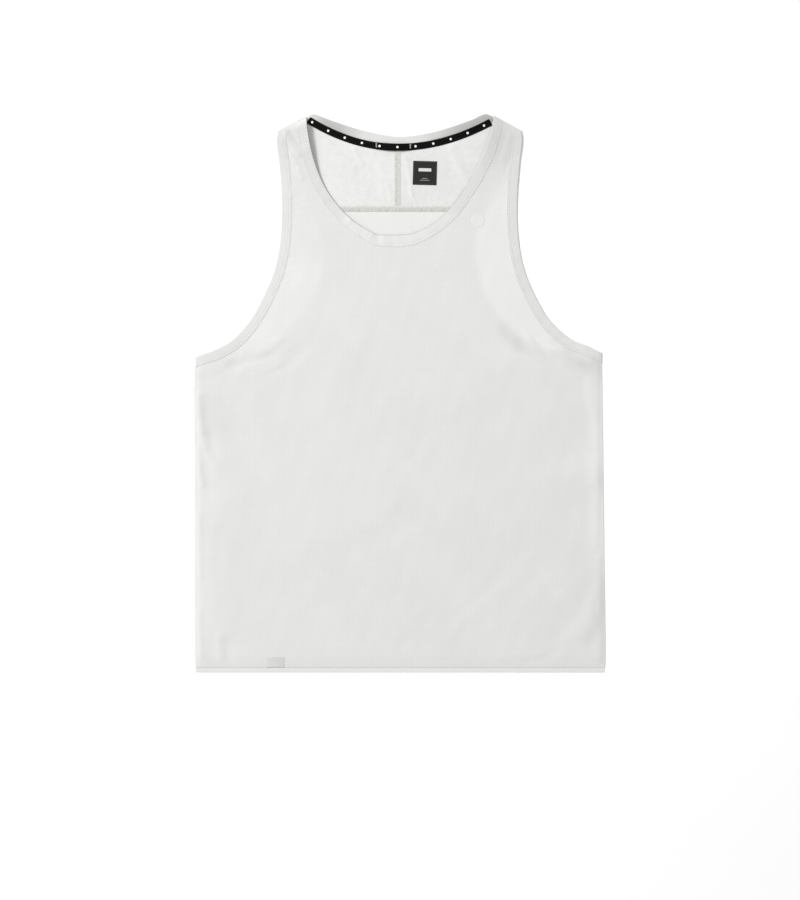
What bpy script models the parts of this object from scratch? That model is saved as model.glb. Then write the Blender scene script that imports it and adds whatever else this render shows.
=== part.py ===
"""Running singlet with a racer back, laid flat and face up. Metres, +Z up.

Each piece is worked out in the garment's own plane: x runs to the wearer's left, y from the back hem up
to the neck, and z up from the surface that the garment lies on. The back lies on that surface, the front
lies on the back, and both bands run round from the front to the back in a narrow fold at each seam.
One empty carries all the pieces and puts the origin under the middle of the garment.
"""

import bmesh
import bpy
import numpy as np

# --- sizes of the cut -------------------------------------------------------------------------------

LENGTH = 0.7068                 # back hem to the highest point of the neckband
FRONT_HEM_Y = 0.0057            # the front ends this much above the back
FRONT_NECK_Y = 0.5540           # free edge of the neckband at its lowest point
FRONT_NECK_POWER = 1.25         # 1 is half an ellipse, and more makes the neckline narrower at its middle
FRONT_NECK_SWING = -0.0060      # x of the neckline's lowest point: minus is towards the wearer's right
BACK_NECK_RISE = 0.0280         # how much lower its free edge is at the centre back than at its peaks
BACK_NECK_POWER = {"right": 1.4, "left": 1.8}
BACK_NECK_PEAK_X = 0.1085
BACK_NECK_SWING = -0.0025

# Shoulder line. Columns: neck point's distance from the centre, its height, and the same two of the tip.
SHOULDER = {
    "right": (0.1186, 0.7048, 0.1548, 0.6852),
    "left": (0.1195, 0.7056, 0.1553, 0.6862),
}

# Free edge of the front armhole below the shoulder tip. Columns: distance from the centre, height.
FRONT_ARMHOLE = (
    (0.1556, 0.6740),
    (0.1528, 0.6490),
    (0.1497, 0.6100),
    (0.1494, 0.5750),
    (0.1520, 0.5400),
    (0.1590, 0.5080),
    (0.1720, 0.4770),
)
# The rest of it down to the side seam, which lies differently on each side. Same columns.
FRONT_UNDERARM = {
    "right": ((0.1898, 0.4450), (0.2110, 0.4213), (0.2225, 0.4138), (0.2345, 0.4080), (0.2593, 0.3995)),
    "left": ((0.1905, 0.4460), (0.2175, 0.4218), (0.2400, 0.4125), (0.2564, 0.4052)),
}
# Free edge of the racer back below the shoulder tip. Same columns.
RACER_EDGE = (
    (0.1470, 0.6540),
    (0.1300, 0.6170),
    (0.1110, 0.5850),
    (0.0985, 0.5560),
    (0.0962, 0.5340),
    (0.0990, 0.5100),
    (0.1070, 0.4840),
    (0.1230, 0.4570),
    (0.1450, 0.4310),
    (0.1750, 0.4140),
    (0.2150, 0.4060),
)
# Half the width at the side seams. Columns: height, wearer's right half, wearer's left half.
SIDE_LINE = (
    (0.0000, 0.2580, 0.2590),
    (0.0120, 0.2590, 0.2604),
    (0.0400, 0.2593, 0.2606),
    (0.1500, 0.2593, 0.2590),
    (0.2700, 0.2593, 0.2577),
    (0.3450, 0.2606, 0.2566),
    (0.4050, 0.2593, 0.2560),
)
YOKE_SEAM_Y = 0.5878

# --- sizes of bands, strips and trims ---------------------------------------------------------------

NECK_BAND_WIDTH = 0.0130
ARMHOLE_BAND_WIDTH = 0.0130
TAPE_WIDTH = 0.0090
TAPE_CENTRE_Y = 0.6652          # middle of the tape at the centre back
TAPE_RISE = 0.0325              # and how much higher it is at its ends
TAPE_HALF_LENGTH = 0.1155
LOOP_FROM_X, LOOP_TO_X = -0.0300, 0.0145
LOOP_BOW = 0.0012               # how far the middle of the hanging loop stands off the tape
LABEL_SIZE = 0.0302
LABEL_CENTRE = (0.0321, 0.6326)
LABEL_TURN = np.radians(-1.5)
BADGE_CENTRE = (0.0995, 0.5725)
BADGE_RADIUS = 0.0083
HEM_TAB_SIZE = (0.0222, 0.0127)
HEM_TAB_CENTRE = (-0.1575, 0.0128)
CENTRE_SEAM_WIDTH = 0.0075
YOKE_STRIP_WIDTH = 0.0085

# --- walls and heights ------------------------------------------------------------------------------

GAP = 0.0003                    # between neighbouring pieces
PANEL = 0.0010                  # thickness of a panel, and of what lies on it
BAND = 0.0014                   # thickness of a folded band
SEAM_Z = PANEL + GAP            # the front's underside where it is seamed to the back
BAND_LIFT = BAND - PANEL        # a front band lies this much higher than the panel beside it
FOLD_RADIUS = (BAND + GAP) / 2  # of a band's middle where it folds from front to back
FOLD_REACH = FOLD_RADIUS + BAND / 2
LOFT = 0.0014                   # how much the front rises from its seams
SIDE_ROLL, SHOULDER_ROLL, HEM_ROLL = 0.0120, 0.0100, 0.0160
ARMHOLE_SAG = 0.0015            # the front sinks beside the armhole, where no back lies under it
ARMHOLE_SAG_REACH = 0.040
SAG_FROM_Y, SAG_START = 0.425, 0.050    # the sag sets in from this height up, over this stretch
SAG_TO_Y, SAG_END = 0.625, 0.060        # and ends below this height
HEM_LOFT = 0.25                 # the front's hem rises by this share of its loft
CORNER_REACH = 0.016            # round each end of an armhole, where a back band lies under the panel

# Largest soft folds of the front. Columns: from x, from y, to x, to y, half width, height.
FOLDS = (
    (-0.116, 0.684, -0.076, 0.588, 0.026, 0.0034),
    (0.118, 0.690, 0.096, 0.640, 0.022, 0.0012),
    (0.240, 0.384, 0.140, 0.398, 0.030, 0.0014),
    (-0.232, 0.380, -0.185, 0.352, 0.026, 0.0010),
    (0.150, 0.036, 0.206, 0.106, 0.040, 0.0018),
    (0.262, 0.256, 0.200, 0.246, 0.034, 0.0012),
    (-0.225, 0.270, -0.232, 0.060, 0.034, 0.0010),
)

# --- how finely the walls are divided ---------------------------------------------------------------

NECK_STEPS, CHEST_STEPS, BODY_STEPS = 18, 10, 14
NECK_PART = 0.60                # this share of the armhole lies beside the neckline
CHEST_Y = 0.450                 # the row of the front that ends at the underarm starts here
BACK_CHEST_Y = 0.370            # and the same row of the back
HALF_COLUMNS = (0.0, 0.14, 0.28, 0.42, 0.56, 0.69, 0.81, 0.90, 0.96, 1.0)
BACK_COLUMNS = (0.0, 0.34, 0.67, 1.0)
RACER_STEPS, BACK_NECK_STEPS = 30, 24
FOLD_STEPS = 4
END_TURN = 0.030                # a band's seam turns into the fold's direction over this length
SIDES = {"right": -1, "left": 1}


# --- curves in the plane ----------------------------------------------------------------------------

def smooth_curve(knots, samples=16):
    """A curve through the knots. Each stretch is a cubic, and its slope at a knot follows both neighbours."""
    knots = np.array(knots, float)
    gaps = np.sqrt(np.linalg.norm(np.diff(knots, axis=0), axis=1))
    at = np.concatenate([[0.0], np.cumsum(gaps)])
    slopes = np.gradient(knots, at, axis=0)
    t = np.linspace(0, 1, samples, endpoint=False)[None, :, None]
    start, end = knots[:-1, None], knots[1:, None]
    run = gaps[:, None, None]
    points = (
        (2 * t**3 - 3 * t**2 + 1) * start
        + (t**3 - 2 * t**2 + t) * run * slopes[:-1, None]
        + (3 * t**2 - 2 * t**3) * end
        + (t**3 - t**2) * run * slopes[1:, None]
    )
    return np.concatenate([points.reshape(-1, 2), knots[-1:]])


def spaced(curve, fractions):
    """The points at these fractions of the curve's length."""
    steps = np.linalg.norm(np.diff(curve, axis=0), axis=1)
    length = np.concatenate([[0.0], np.cumsum(steps)])
    wanted = np.asarray(fractions) * length[-1]
    return np.stack([np.interp(wanted, length, values) for values in curve.T], axis=1)


def unit(vectors):
    return vectors / np.linalg.norm(vectors, axis=-1, keepdims=True)


def ease(t):
    """0 below 0, 1 above 1, and a soft step between."""
    t = np.clip(t, 0, 1)
    return t * t * (3 - 2 * t)


def across(edge, turn, first, last):
    """Unit directions across a band: square to its edge, and along the fold at each end."""
    tangent = unit(np.gradient(edge, axis=0))
    square = turn * np.stack([-tangent[:, 1], tangent[:, 0]], axis=1)
    steps = np.linalg.norm(np.diff(edge, axis=0), axis=1)
    run = np.concatenate([[0.0], np.cumsum(steps)])
    near_first = ease(1 - run / END_TURN)[:, None]
    near_last = ease(1 - (run[-1] - run) / END_TURN)[:, None]
    middle = (1 - near_first) * (1 - near_last)
    return unit(middle * square + near_first * np.array(first) + near_last * np.array(last))


# --- outlines ---------------------------------------------------------------------------------------

def shoulder(side):
    """The shoulder line: neck point, tip, direction from one to the other, and direction out of the cloth."""
    sign = SIDES[side]
    neck_x, neck_y, tip_x, tip_y = SHOULDER[side]
    neck_point = np.array([sign * neck_x, neck_y])
    tip = np.array([sign * tip_x, tip_y])
    along = unit(tip - neck_point)
    outward = sign * np.array([-along[1], along[0]])
    return neck_point, tip, along, outward


def side_x(side, y):
    """Distance of the side seam from the centre at a height."""
    heights, right, left = np.array(SIDE_LINE).T
    return np.interp(y, heights, {"right": right, "left": left}[side])


def front_neck(side):
    """Edge and direction of the neckband's front half, from the shoulder to the centre."""
    sign = SIDES[side]
    neck_point, _, along, outward = shoulder(side)
    angle = np.linspace(0, np.pi / 2, 200)
    drop = np.sin(angle) ** FRONT_NECK_POWER
    start = neck_point - FOLD_REACH * outward
    x = start[0] * np.cos(angle) + FRONT_NECK_SWING * ease(1.4 * drop)
    curve = np.stack([x, start[1] - (start[1] - FRONT_NECK_Y) * drop], axis=1)
    edge = spaced(curve, np.linspace(0, 1, NECK_STEPS + 1))
    direction = across(edge, sign, along, (0, -1))
    return edge, direction


def back_neck():
    """Edge and direction of the neckband's back, from the wearer's left shoulder to the right."""
    left_point, _, left_along, left_outward = shoulder("left")
    right_point, _, right_along, right_outward = shoulder("right")
    x = np.linspace(BACK_NECK_PEAK_X, -BACK_NECK_PEAK_X, 15)
    share = np.abs(x) / BACK_NECK_PEAK_X
    swing = BACK_NECK_SWING * ease(2 - 2 * share)
    power = np.where(x > 0, BACK_NECK_POWER["left"], BACK_NECK_POWER["right"])
    dip = np.stack([x + swing, LENGTH - BACK_NECK_RISE * (1 - share**power)], axis=1)
    first = left_point - FOLD_REACH * left_outward
    last = right_point - FOLD_REACH * right_outward
    edge = smooth_curve(np.concatenate([first[None], dip, last[None]]))
    edge = spaced(edge, np.linspace(0, 1, BACK_NECK_STEPS + 1))
    return edge, across(edge, 1, left_along, right_along)


def front_armhole(side):
    """Edge and direction of the armhole band's front, from the shoulder to the side seam."""
    sign = SIDES[side]
    _, tip, along, outward = shoulder(side)
    knots = np.array(FRONT_ARMHOLE + FRONT_UNDERARM[side]) * (sign, 1)
    knots[-1, 0] -= sign * FOLD_REACH
    curve = smooth_curve(np.concatenate([(tip - FOLD_REACH * outward)[None], knots]))
    shares = np.concatenate([
        np.linspace(0, NECK_PART, NECK_STEPS, endpoint=False),
        np.linspace(NECK_PART, 1, CHEST_STEPS + 1),
    ])
    edge = spaced(curve, shares)
    return edge, across(edge, -sign, -along, (0, -1))


def racer_edge(side):
    """Edge and direction of the armhole band's back, from the shoulder to the side seam."""
    sign = SIDES[side]
    _, tip, along, outward = shoulder(side)
    underarm = np.array(FRONT_UNDERARM[side][-1:]) - (FOLD_REACH, 0)
    knots = np.concatenate([np.array(RACER_EDGE), underarm]) * (sign, 1)
    curve = smooth_curve(np.concatenate([(tip - FOLD_REACH * outward)[None], knots]))
    edge = spaced(curve, np.linspace(0, 1, RACER_STEPS + 1))
    return edge, across(edge, -sign, -along, (0, -1))


# --- heights ----------------------------------------------------------------------------------------

def roll(t):
    """A quarter round: 0 at 0, steep there, and level from 1 on."""
    return np.sqrt(1 - (1 - np.clip(t, 0, 1)) ** 2)


def ridge(x, y, fold):
    """A soft ridge along the line from one point to another, fading out at both ends."""
    from_x, from_y, to_x, to_y, half_width, height = fold
    line = np.array([to_x - from_x, to_y - from_y])
    length = np.hypot(*line)
    along = ((x - from_x) * line[0] + (y - from_y) * line[1]) / length
    beside = ((x - from_x) * line[1] - (y - from_y) * line[0]) / length
    beyond = np.maximum(0, np.abs(along - length / 2) - length / 2)
    return height * ease(1 - np.hypot(beside, beyond) / half_width)


def front_underside(x, y):
    """Height of the front's underside over the surface.

    Its seams lie a gap above the back. From there it rolls up to its loft, it sinks a little beside the
    armholes, and its folds stand on that.
    """
    shape = np.ones_like(x)
    sag = np.zeros_like(x)
    for side, sign in SIDES.items():
        neck_point, _, _, outward = shoulder(side)
        to_shoulder = (neck_point[0] - x) * outward[0] + (neck_point[1] - y) * outward[1] - FOLD_REACH
        to_side = side_x(side, y) - sign * x - FOLD_REACH
        shape = shape * roll(to_side / SIDE_ROLL)
        shape = np.where(sign * x > 0, shape * roll(to_shoulder / SHOULDER_ROLL), shape)
        edge, _ = front_armhole(side)
        away = np.min(np.hypot(x[..., None] - edge[:, 0], y[..., None] - edge[:, 1]), axis=-1)
        open_part = ease((y - SAG_FROM_Y) / SAG_START) * ease((SAG_TO_Y - y) / SAG_END)
        sag = sag + ease(1 - away / ARMHOLE_SAG_REACH) * open_part
    shape = shape * (HEM_LOFT + (1 - HEM_LOFT) * roll((y - FRONT_HEM_Y) / HEM_ROLL))
    folds = sum(ridge(x, y, fold) for fold in FOLDS)
    return SEAM_Z + shape * (LOFT + folds - ARMHOLE_SAG * sag)


def panel_underside(x, y):
    """The front panel's underside, lifted clear of the back's bands where they run in under its corners."""
    near = np.zeros_like(x)
    for side in SIDES:
        edge, direction = front_armhole(side)
        for corner in (edge + ARMHOLE_BAND_WIDTH * direction)[[0, -1]]:
            away = np.hypot(x - corner[0], y - corner[1])
            near = np.maximum(near, ease((CORNER_REACH - away) / (CORNER_REACH / 2)))
    return np.maximum(front_underside(x, y), SEAM_Z + BAND_LIFT * near)


# --- solids -----------------------------------------------------------------------------------------

def linear(colour):
    """Linear light from a colour written in 0 to 255."""
    part = np.array(colour) / 255
    return tuple(np.where(part <= 0.04045, part / 12.92, ((part + 0.055) / 1.055) ** 2.4))


def cloth(name, colour, roughness):
    material = bpy.data.materials.new(name)
    material.use_nodes = True
    shader = material.node_tree.nodes["Principled BSDF"]
    shader.inputs["Base Color"].default_value = (*linear(colour), 1)
    shader.inputs["Roughness"].default_value = roughness
    shader.inputs["Metallic"].default_value = 0
    return material


def add_piece(name, mesh_data, carrier, colour, roughness=0.9):
    """An object of this mesh under the empty, with a material of its own."""
    bmesh.ops.recalc_face_normals(mesh_data, faces=mesh_data.faces)
    mesh = bpy.data.meshes.new(name)
    mesh_data.to_mesh(mesh)
    mesh_data.free()
    mesh.materials.append(cloth(name, colour, roughness))
    piece = bpy.data.objects.new(name, mesh)
    piece.parent = carrier
    bpy.context.scene.collection.objects.link(piece)
    return piece


def add_wall(grids, underside, thickness):
    """A closed wall on one or more grids of plane points that share their edges.

    underside gives the height of each point, and the wall stands on it with one thickness.
    """
    wall = bmesh.new()
    for grid in grids:
        heights = underside(grid[..., 0], grid[..., 1])
        verts = [
            [wall.verts.new((x, y, z)) for (x, y), z in zip(row, row_heights)]
            for row, row_heights in zip(grid, heights)
        ]
        for above, below in zip(verts, verts[1:]):
            for corner in range(len(above) - 1):
                wall.faces.new((above[corner], above[corner + 1], below[corner + 1], below[corner]))
    bmesh.ops.remove_doubles(wall, verts=wall.verts, dist=1e-6)
    lifted = bmesh.ops.extrude_face_region(wall, geom=wall.faces[:], use_keep_orig=True)
    tops = [item for item in lifted["geom"] if isinstance(item, bmesh.types.BMVert)]
    bmesh.ops.translate(wall, verts=tops, vec=(0, 0, thickness))
    return wall


def add_ring(edges, seams, normals):
    """A closed band. Its section is BAND thick, rounded at its free edge and square at its seam."""
    section = ((1.0, -0.5), (0.10, -0.5), (0.0, 0.0), (0.10, 0.5), (1.0, 0.5))
    ring = bmesh.new()
    loops = [
        [ring.verts.new(edge + share * (seam - edge) + rise * BAND * normal) for share, rise in section]
        for edge, seam, normal in zip(edges, seams, normals)
    ]
    for this, following in zip(loops, loops[1:] + loops[:1]):
        for corner in range(len(section)):
            beside = (corner + 1) % len(section)
            ring.faces.new((this[corner], this[beside], following[beside], following[corner]))
    return ring


def level(height):
    """An underside at one height."""
    return lambda x, y: np.full_like(x, height)


# --- bands ------------------------------------------------------------------------------------------

def front_run(edge, direction, width):
    """Stations of a band on the front: free edge, seam and normal of its middle."""
    seam = edge + width * direction
    lift = BAND_LIFT + BAND / 2
    rows = [np.column_stack([line, front_underside(*line.T) + lift]) for line in (edge, seam)]
    return rows[0], rows[1], np.tile((0.0, 0.0, 1.0), (len(edge), 1))


def back_run(edge, direction, width):
    """Stations of a band on the back, which shows its inner face."""
    seam = edge + width * direction
    rows = [np.column_stack([line, np.full(len(line), BAND / 2)]) for line in (edge, seam)]
    return rows[0], rows[1], np.tile((0.0, 0.0, -1.0), (len(edge), 1))


def fold_run(edge, seam, outward, downward):
    """Stations of the half turn between front and back, round an axis from edge to seam."""
    turn = np.linspace(np.pi / 2, -np.pi / 2, FOLD_STEPS + 2)[1:-1]
    turn = turn if downward else -turn
    normals = np.column_stack([np.outer(np.cos(turn), outward), np.sin(turn)])
    middle = BAND + GAP / 2
    rows = [
        np.append(point, middle) + FOLD_RADIUS * normals
        for point in (edge, seam)
    ]
    return rows[0], rows[1], normals


def joined(runs):
    return [np.concatenate(rows) for rows in zip(*runs)]


def reversed_run(run):
    return tuple(rows[::-1] for rows in run)


def neck_band():
    """All round the neck: left front, left fold, back, right fold, right front."""
    left_edge, left_across = front_neck("left")
    right_edge, right_across = front_neck("right")
    back_edge, back_across = back_neck()
    width = NECK_BAND_WIDTH
    runs = [
        reversed_run(front_run(left_edge, left_across, width)),
        fold_run(back_edge[0], back_edge[0] + width * back_across[0], shoulder("left")[3], True),
        back_run(back_edge, back_across, width),
        fold_run(back_edge[-1], back_edge[-1] + width * back_across[-1], shoulder("right")[3], False),
        front_run(right_edge[:-1], right_across[:-1], width),
    ]
    return add_ring(*joined(runs))


def armhole_band(side):
    """All round one armhole: front, fold at the side seam, racer edge, fold at the shoulder."""
    front_edge, front_across = front_armhole(side)
    racer, racer_across = racer_edge(side)
    width = ARMHOLE_BAND_WIDTH
    underarm, tip = racer[-1], racer[0]
    runs = [
        front_run(front_edge, front_across, width),
        fold_run(underarm, underarm + width * racer_across[-1], np.array([SIDES[side], 0.0]), True),
        reversed_run(back_run(racer, racer_across, width)),
        fold_run(tip, tip + width * racer_across[0], shoulder(side)[3], False),
    ]
    return add_ring(*joined(runs))


# --- panels -----------------------------------------------------------------------------------------

def beside_band(edge, direction, width):
    """The panel's outline a gap away from a band's seam."""
    return edge + (width + GAP) * direction


def from_shoulder(line, side):
    """The line with one more point before it, on the shoulder line."""
    return np.concatenate([line[:1] + FOLD_REACH * shoulder(side)[3], line])


def to_side(line, side):
    """The line with one more point after it, on the side seam, and a little lower so that no row crosses it."""
    y = line[-1, 1] - FOLD_REACH / 2
    return np.concatenate([line, [[SIDES[side] * side_x(side, y), y]]])


def side_seam(side, top_y, bottom_y, steps):
    """Points down a side seam."""
    y = np.linspace(top_y, bottom_y, steps + 1)
    return np.stack([SIDES[side] * side_x(side, y), y], axis=1)


def ruled(inner, outer, shares):
    """A grid of straight rows between two lines with equally many points."""
    shares = np.asarray(shares)[None, :, None]
    return inner[:, None] * (1 - shares) + outer[:, None] * shares


def front_half(side):
    """Half of the front: rows from the neckline and the centre out to the armhole and the side."""
    neck = from_shoulder(beside_band(*front_neck(side), NECK_BAND_WIDTH), side)
    armhole = from_shoulder(beside_band(*front_armhole(side), ARMHOLE_BAND_WIDTH), side)
    armhole = to_side(armhole, side)
    low_neck_y = neck[-1, 1]
    chest_y = np.linspace(low_neck_y, CHEST_Y, CHEST_STEPS + 2)[1:]
    body_y = np.linspace(CHEST_Y, FRONT_HEM_Y, BODY_STEPS + 1)[1:]
    centre_y = np.concatenate([chest_y, body_y])
    centre_x = FRONT_NECK_SWING * (centre_y - FRONT_HEM_Y) / (low_neck_y - FRONT_HEM_Y)
    inner = np.concatenate([neck, np.stack([centre_x, centre_y], axis=1)])
    outer = np.concatenate([armhole, side_seam(side, armhole[-1, 1], FRONT_HEM_Y, BODY_STEPS)[1:]])
    return ruled(inner, outer, HALF_COLUMNS)


def racer_seam(side):
    """The back panels' outline along the armhole band, from the shoulder to the side seam."""
    seam = beside_band(*racer_edge(side), ARMHOLE_BAND_WIDTH)
    return to_side(from_shoulder(seam, side), side)


def crossing(line, y):
    """Splits a falling line at a height: the part above, and the part below, both with the crossing point."""
    x = np.interp(-y, -line[:, 1], line[:, 0])
    point = np.array([[x, y]])
    return (
        np.concatenate([line[line[:, 1] > y], point]),
        np.concatenate([point, line[line[:, 1] < y]]),
    )


def yoke_half(side):
    """Half of the back yoke, as a grid between the neck, the centre, the racer edge and the yoke seam."""
    edge, direction = back_neck()
    seam = beside_band(edge, direction, NECK_BAND_WIDTH)
    middle = BACK_NECK_STEPS // 2
    neck = seam[middle:] if side == "right" else seam[middle::-1]
    neck = from_shoulder(neck[::-1], side)[::-1]
    neck[0, 0] = BACK_NECK_SWING + SIDES[side] * GAP / 2
    outer, _ = crossing(racer_seam(side), YOKE_SEAM_Y + GAP / 2)
    top = np.concatenate([neck, outer[:1]])
    bottom = np.linspace((neck[0, 0], outer[-1, 1]), outer[-1], len(top))
    centre = np.linspace(neck[0], bottom[0], len(outer))
    u = np.linspace(0, 1, len(top))[None, :, None]
    v = np.linspace(0, 1, len(outer))[:, None, None]
    corners = (
        (1 - u) * (1 - v) * top[0]
        + u * (1 - v) * top[-1]
        + (1 - u) * v * bottom[0]
        + u * v * bottom[-1]
    )
    return (
        (1 - v) * top[None]
        + v * bottom[None]
        + (1 - u) * centre[:, None]
        + u * outer[:, None]
        - corners
    )


def lower_back_half(side):
    """Half of the lower back: rows from the centre out to the racer edge and the side."""
    _, racer = crossing(racer_seam(side), YOKE_SEAM_Y - GAP / 2)
    low = side_seam(side, racer[-1, 1], 0.0, BODY_STEPS)[1:]
    centre_y = np.concatenate([
        np.linspace(YOKE_SEAM_Y - GAP / 2, BACK_CHEST_Y, len(racer)),
        np.linspace(BACK_CHEST_Y, 0.0, BODY_STEPS + 1)[1:],
    ])
    centre = np.stack([np.zeros_like(centre_y), centre_y], axis=1)
    return ruled(centre, np.concatenate([racer, low]), BACK_COLUMNS)


# --- strips and trims -------------------------------------------------------------------------------

def strip(middle, width):
    """A grid two points wide along a line."""
    tangent = unit(np.gradient(middle, axis=0))
    square = np.stack([-tangent[:, 1], tangent[:, 0]], axis=1)
    return np.stack([middle + width / 2 * square, middle - width / 2 * square], axis=1)


def tape_line(from_x, to_x, steps):
    """The middle of the neck tape: a flat parabola."""
    x = np.linspace(from_x, to_x, steps + 1)
    y = TAPE_CENTRE_Y + TAPE_RISE * ((x - BACK_NECK_SWING) / TAPE_HALF_LENGTH) ** 2
    return np.stack([x, y], axis=1)


def rectangle(centre, size, turn=0.0, steps=1):
    """A turned rectangle as a grid."""
    across_x, down_y = np.meshgrid(np.linspace(-0.5, 0.5, steps + 1), np.linspace(0.5, -0.5, steps + 1))
    x, y = across_x * size[0], down_y * size[1]
    return np.stack([
        centre[0] + x * np.cos(turn) - y * np.sin(turn),
        centre[1] + x * np.sin(turn) + y * np.cos(turn),
    ], axis=-1)


def loop_underside(x, y):
    """The hanging loop lies on the tape at both ends and stands off it between."""
    share = np.clip((x - LOOP_FROM_X) / (LOOP_TO_X - LOOP_FROM_X), 0, 1)
    return BAND + PANEL + 2 * GAP + LOOP_BOW * np.sin(np.pi * share)


def on_front(x, y):
    """The height of what lies on the front."""
    return front_underside(x, y) + PANEL + GAP


def badge():
    """A round badge with a bevelled rim, on the front."""
    disc = bmesh.new()
    bmesh.ops.create_cone(
        disc, cap_ends=True, segments=32, radius1=BADGE_RADIUS, radius2=BADGE_RADIUS * 0.9, depth=PANEL,
    )
    height = float(on_front(*np.array(BADGE_CENTRE)))
    bmesh.ops.translate(disc, verts=disc.verts, vec=(*BADGE_CENTRE, height + PANEL / 2))
    return disc


# --- the garment ------------------------------------------------------------------------------------

def clear_scene():
    for item in list(bpy.data.objects):
        bpy.data.objects.remove(item, do_unlink=True)


def build():
    clear_scene()
    carrier = bpy.data.objects.new("singlet", None)
    carrier.location = (0, -LENGTH / 2, 0)
    bpy.context.scene.collection.objects.link(carrier)

    front = add_wall([front_half("right"), front_half("left")], panel_underside, PANEL)
    add_piece("front_panel", front, carrier, (229, 229, 227))
    lower = add_wall([lower_back_half("right"), lower_back_half("left")], level(0.0), PANEL)
    add_piece("back_lower", lower, carrier, (234, 234, 232))
    for side in SIDES:
        yoke = add_wall([yoke_half(side)], level(0.0), PANEL)
        add_piece(f"back_yoke_{side}", yoke, carrier, (236, 237, 234))
        add_piece(f"armhole_band_{side}", armhole_band(side), carrier, (230, 230, 228))
    add_piece("neck_band", neck_band(), carrier, (228, 228, 227))

    on_back = level(SEAM_Z)
    seam_top = TAPE_CENTRE_Y - TAPE_WIDTH / 2 - GAP
    seam_foot = YOKE_SEAM_Y + YOKE_STRIP_WIDTH / 2 + GAP
    centre_line = np.linspace((BACK_NECK_SWING, seam_top), (BACK_NECK_SWING, seam_foot), 7)
    centre_seam = add_wall([strip(centre_line, CENTRE_SEAM_WIDTH)], on_back, PANEL)
    add_piece("centre_back_seam", centre_seam, carrier, (215, 215, 212))
    strip_foot = YOKE_SEAM_Y - YOKE_STRIP_WIDTH / 2
    reach = [abs(crossing(racer_seam(side), strip_foot)[0][-1, 0]) for side in SIDES]
    yoke_line = np.linspace((-reach[0], YOKE_SEAM_Y), (reach[1], YOKE_SEAM_Y), 13)
    yoke_seam = add_wall([strip(yoke_line, YOKE_STRIP_WIDTH)], on_back, PANEL)
    add_piece("yoke_seam", yoke_seam, carrier, (212, 213, 209))

    tape = strip(tape_line(-TAPE_HALF_LENGTH, TAPE_HALF_LENGTH, 32), TAPE_WIDTH)
    add_piece("neck_tape", add_wall([tape], level(BAND + GAP), PANEL), carrier, (12, 12, 11), 0.7)
    loop = strip(tape_line(LOOP_FROM_X, LOOP_TO_X, 10), TAPE_WIDTH)
    add_piece("hanging_loop", add_wall([loop], loop_underside, PANEL), carrier, (12, 12, 11), 0.7)
    label = rectangle(LABEL_CENTRE, (LABEL_SIZE, LABEL_SIZE), LABEL_TURN)
    add_piece("size_label", add_wall([label], on_back, PANEL), carrier, (33, 32, 31), 0.6)
    add_piece("chest_badge", badge(), carrier, (222, 222, 220), 0.8)
    tab = rectangle(HEM_TAB_CENTRE, HEM_TAB_SIZE, steps=4)
    add_piece("hem_tab", add_wall([tab], on_front, PANEL), carrier, (216, 216, 215), 0.8)


build()
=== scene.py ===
"""Running singlet with a racer back, laid flat and face up: its cloth, bands, trims and threads.

Each piece is worked out in the garment's own plane, in metres: x runs to the wearer's left, y from the back
hem up to the neck, and z up from the floor. Outlines and heights are those of the cut.
"""

import bpy
import numpy as np
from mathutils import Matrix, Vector


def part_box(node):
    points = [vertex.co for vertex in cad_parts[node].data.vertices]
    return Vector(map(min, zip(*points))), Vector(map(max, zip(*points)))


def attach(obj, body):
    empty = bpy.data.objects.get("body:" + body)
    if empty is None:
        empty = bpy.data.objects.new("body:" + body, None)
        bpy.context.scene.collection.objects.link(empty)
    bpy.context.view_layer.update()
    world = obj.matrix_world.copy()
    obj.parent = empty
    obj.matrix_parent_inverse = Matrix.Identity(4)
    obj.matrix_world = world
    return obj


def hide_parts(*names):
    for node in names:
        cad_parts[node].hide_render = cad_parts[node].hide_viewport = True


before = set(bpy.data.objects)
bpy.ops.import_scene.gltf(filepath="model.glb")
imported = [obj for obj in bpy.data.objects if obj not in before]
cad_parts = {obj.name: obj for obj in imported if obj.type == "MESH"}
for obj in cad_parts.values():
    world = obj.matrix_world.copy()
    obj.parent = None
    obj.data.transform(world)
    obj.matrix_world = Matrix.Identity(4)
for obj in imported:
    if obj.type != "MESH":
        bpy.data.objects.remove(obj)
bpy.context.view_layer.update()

MM = 0.001
UP = (0.0, 0.0, 1.0)
SIDES = {"right": -1, "left": 1}
ORIGIN = np.array([0.0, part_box("back_lower")[0].y, 0.0])

# --- sizes of the cut ---

LENGTH = 0.7068
FRONT_HEM_Y = 0.0057
FRONT_NECK_Y, FRONT_NECK_POWER, FRONT_NECK_SWING = 0.5540, 1.25, -0.0060
BACK_NECK_RISE, BACK_NECK_PEAK_X, BACK_NECK_SWING = 0.0280, 0.1085, -0.0025
BACK_NECK_POWER = {"right": 1.4, "left": 1.8}

# Shoulder line. Columns: neck point's distance from the centre, its height, and the same two of the tip.
SHOULDER = {
    "right": (0.1186, 0.7048, 0.1548, 0.6852),
    "left": (0.1195, 0.7056, 0.1553, 0.6862),
}
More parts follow.
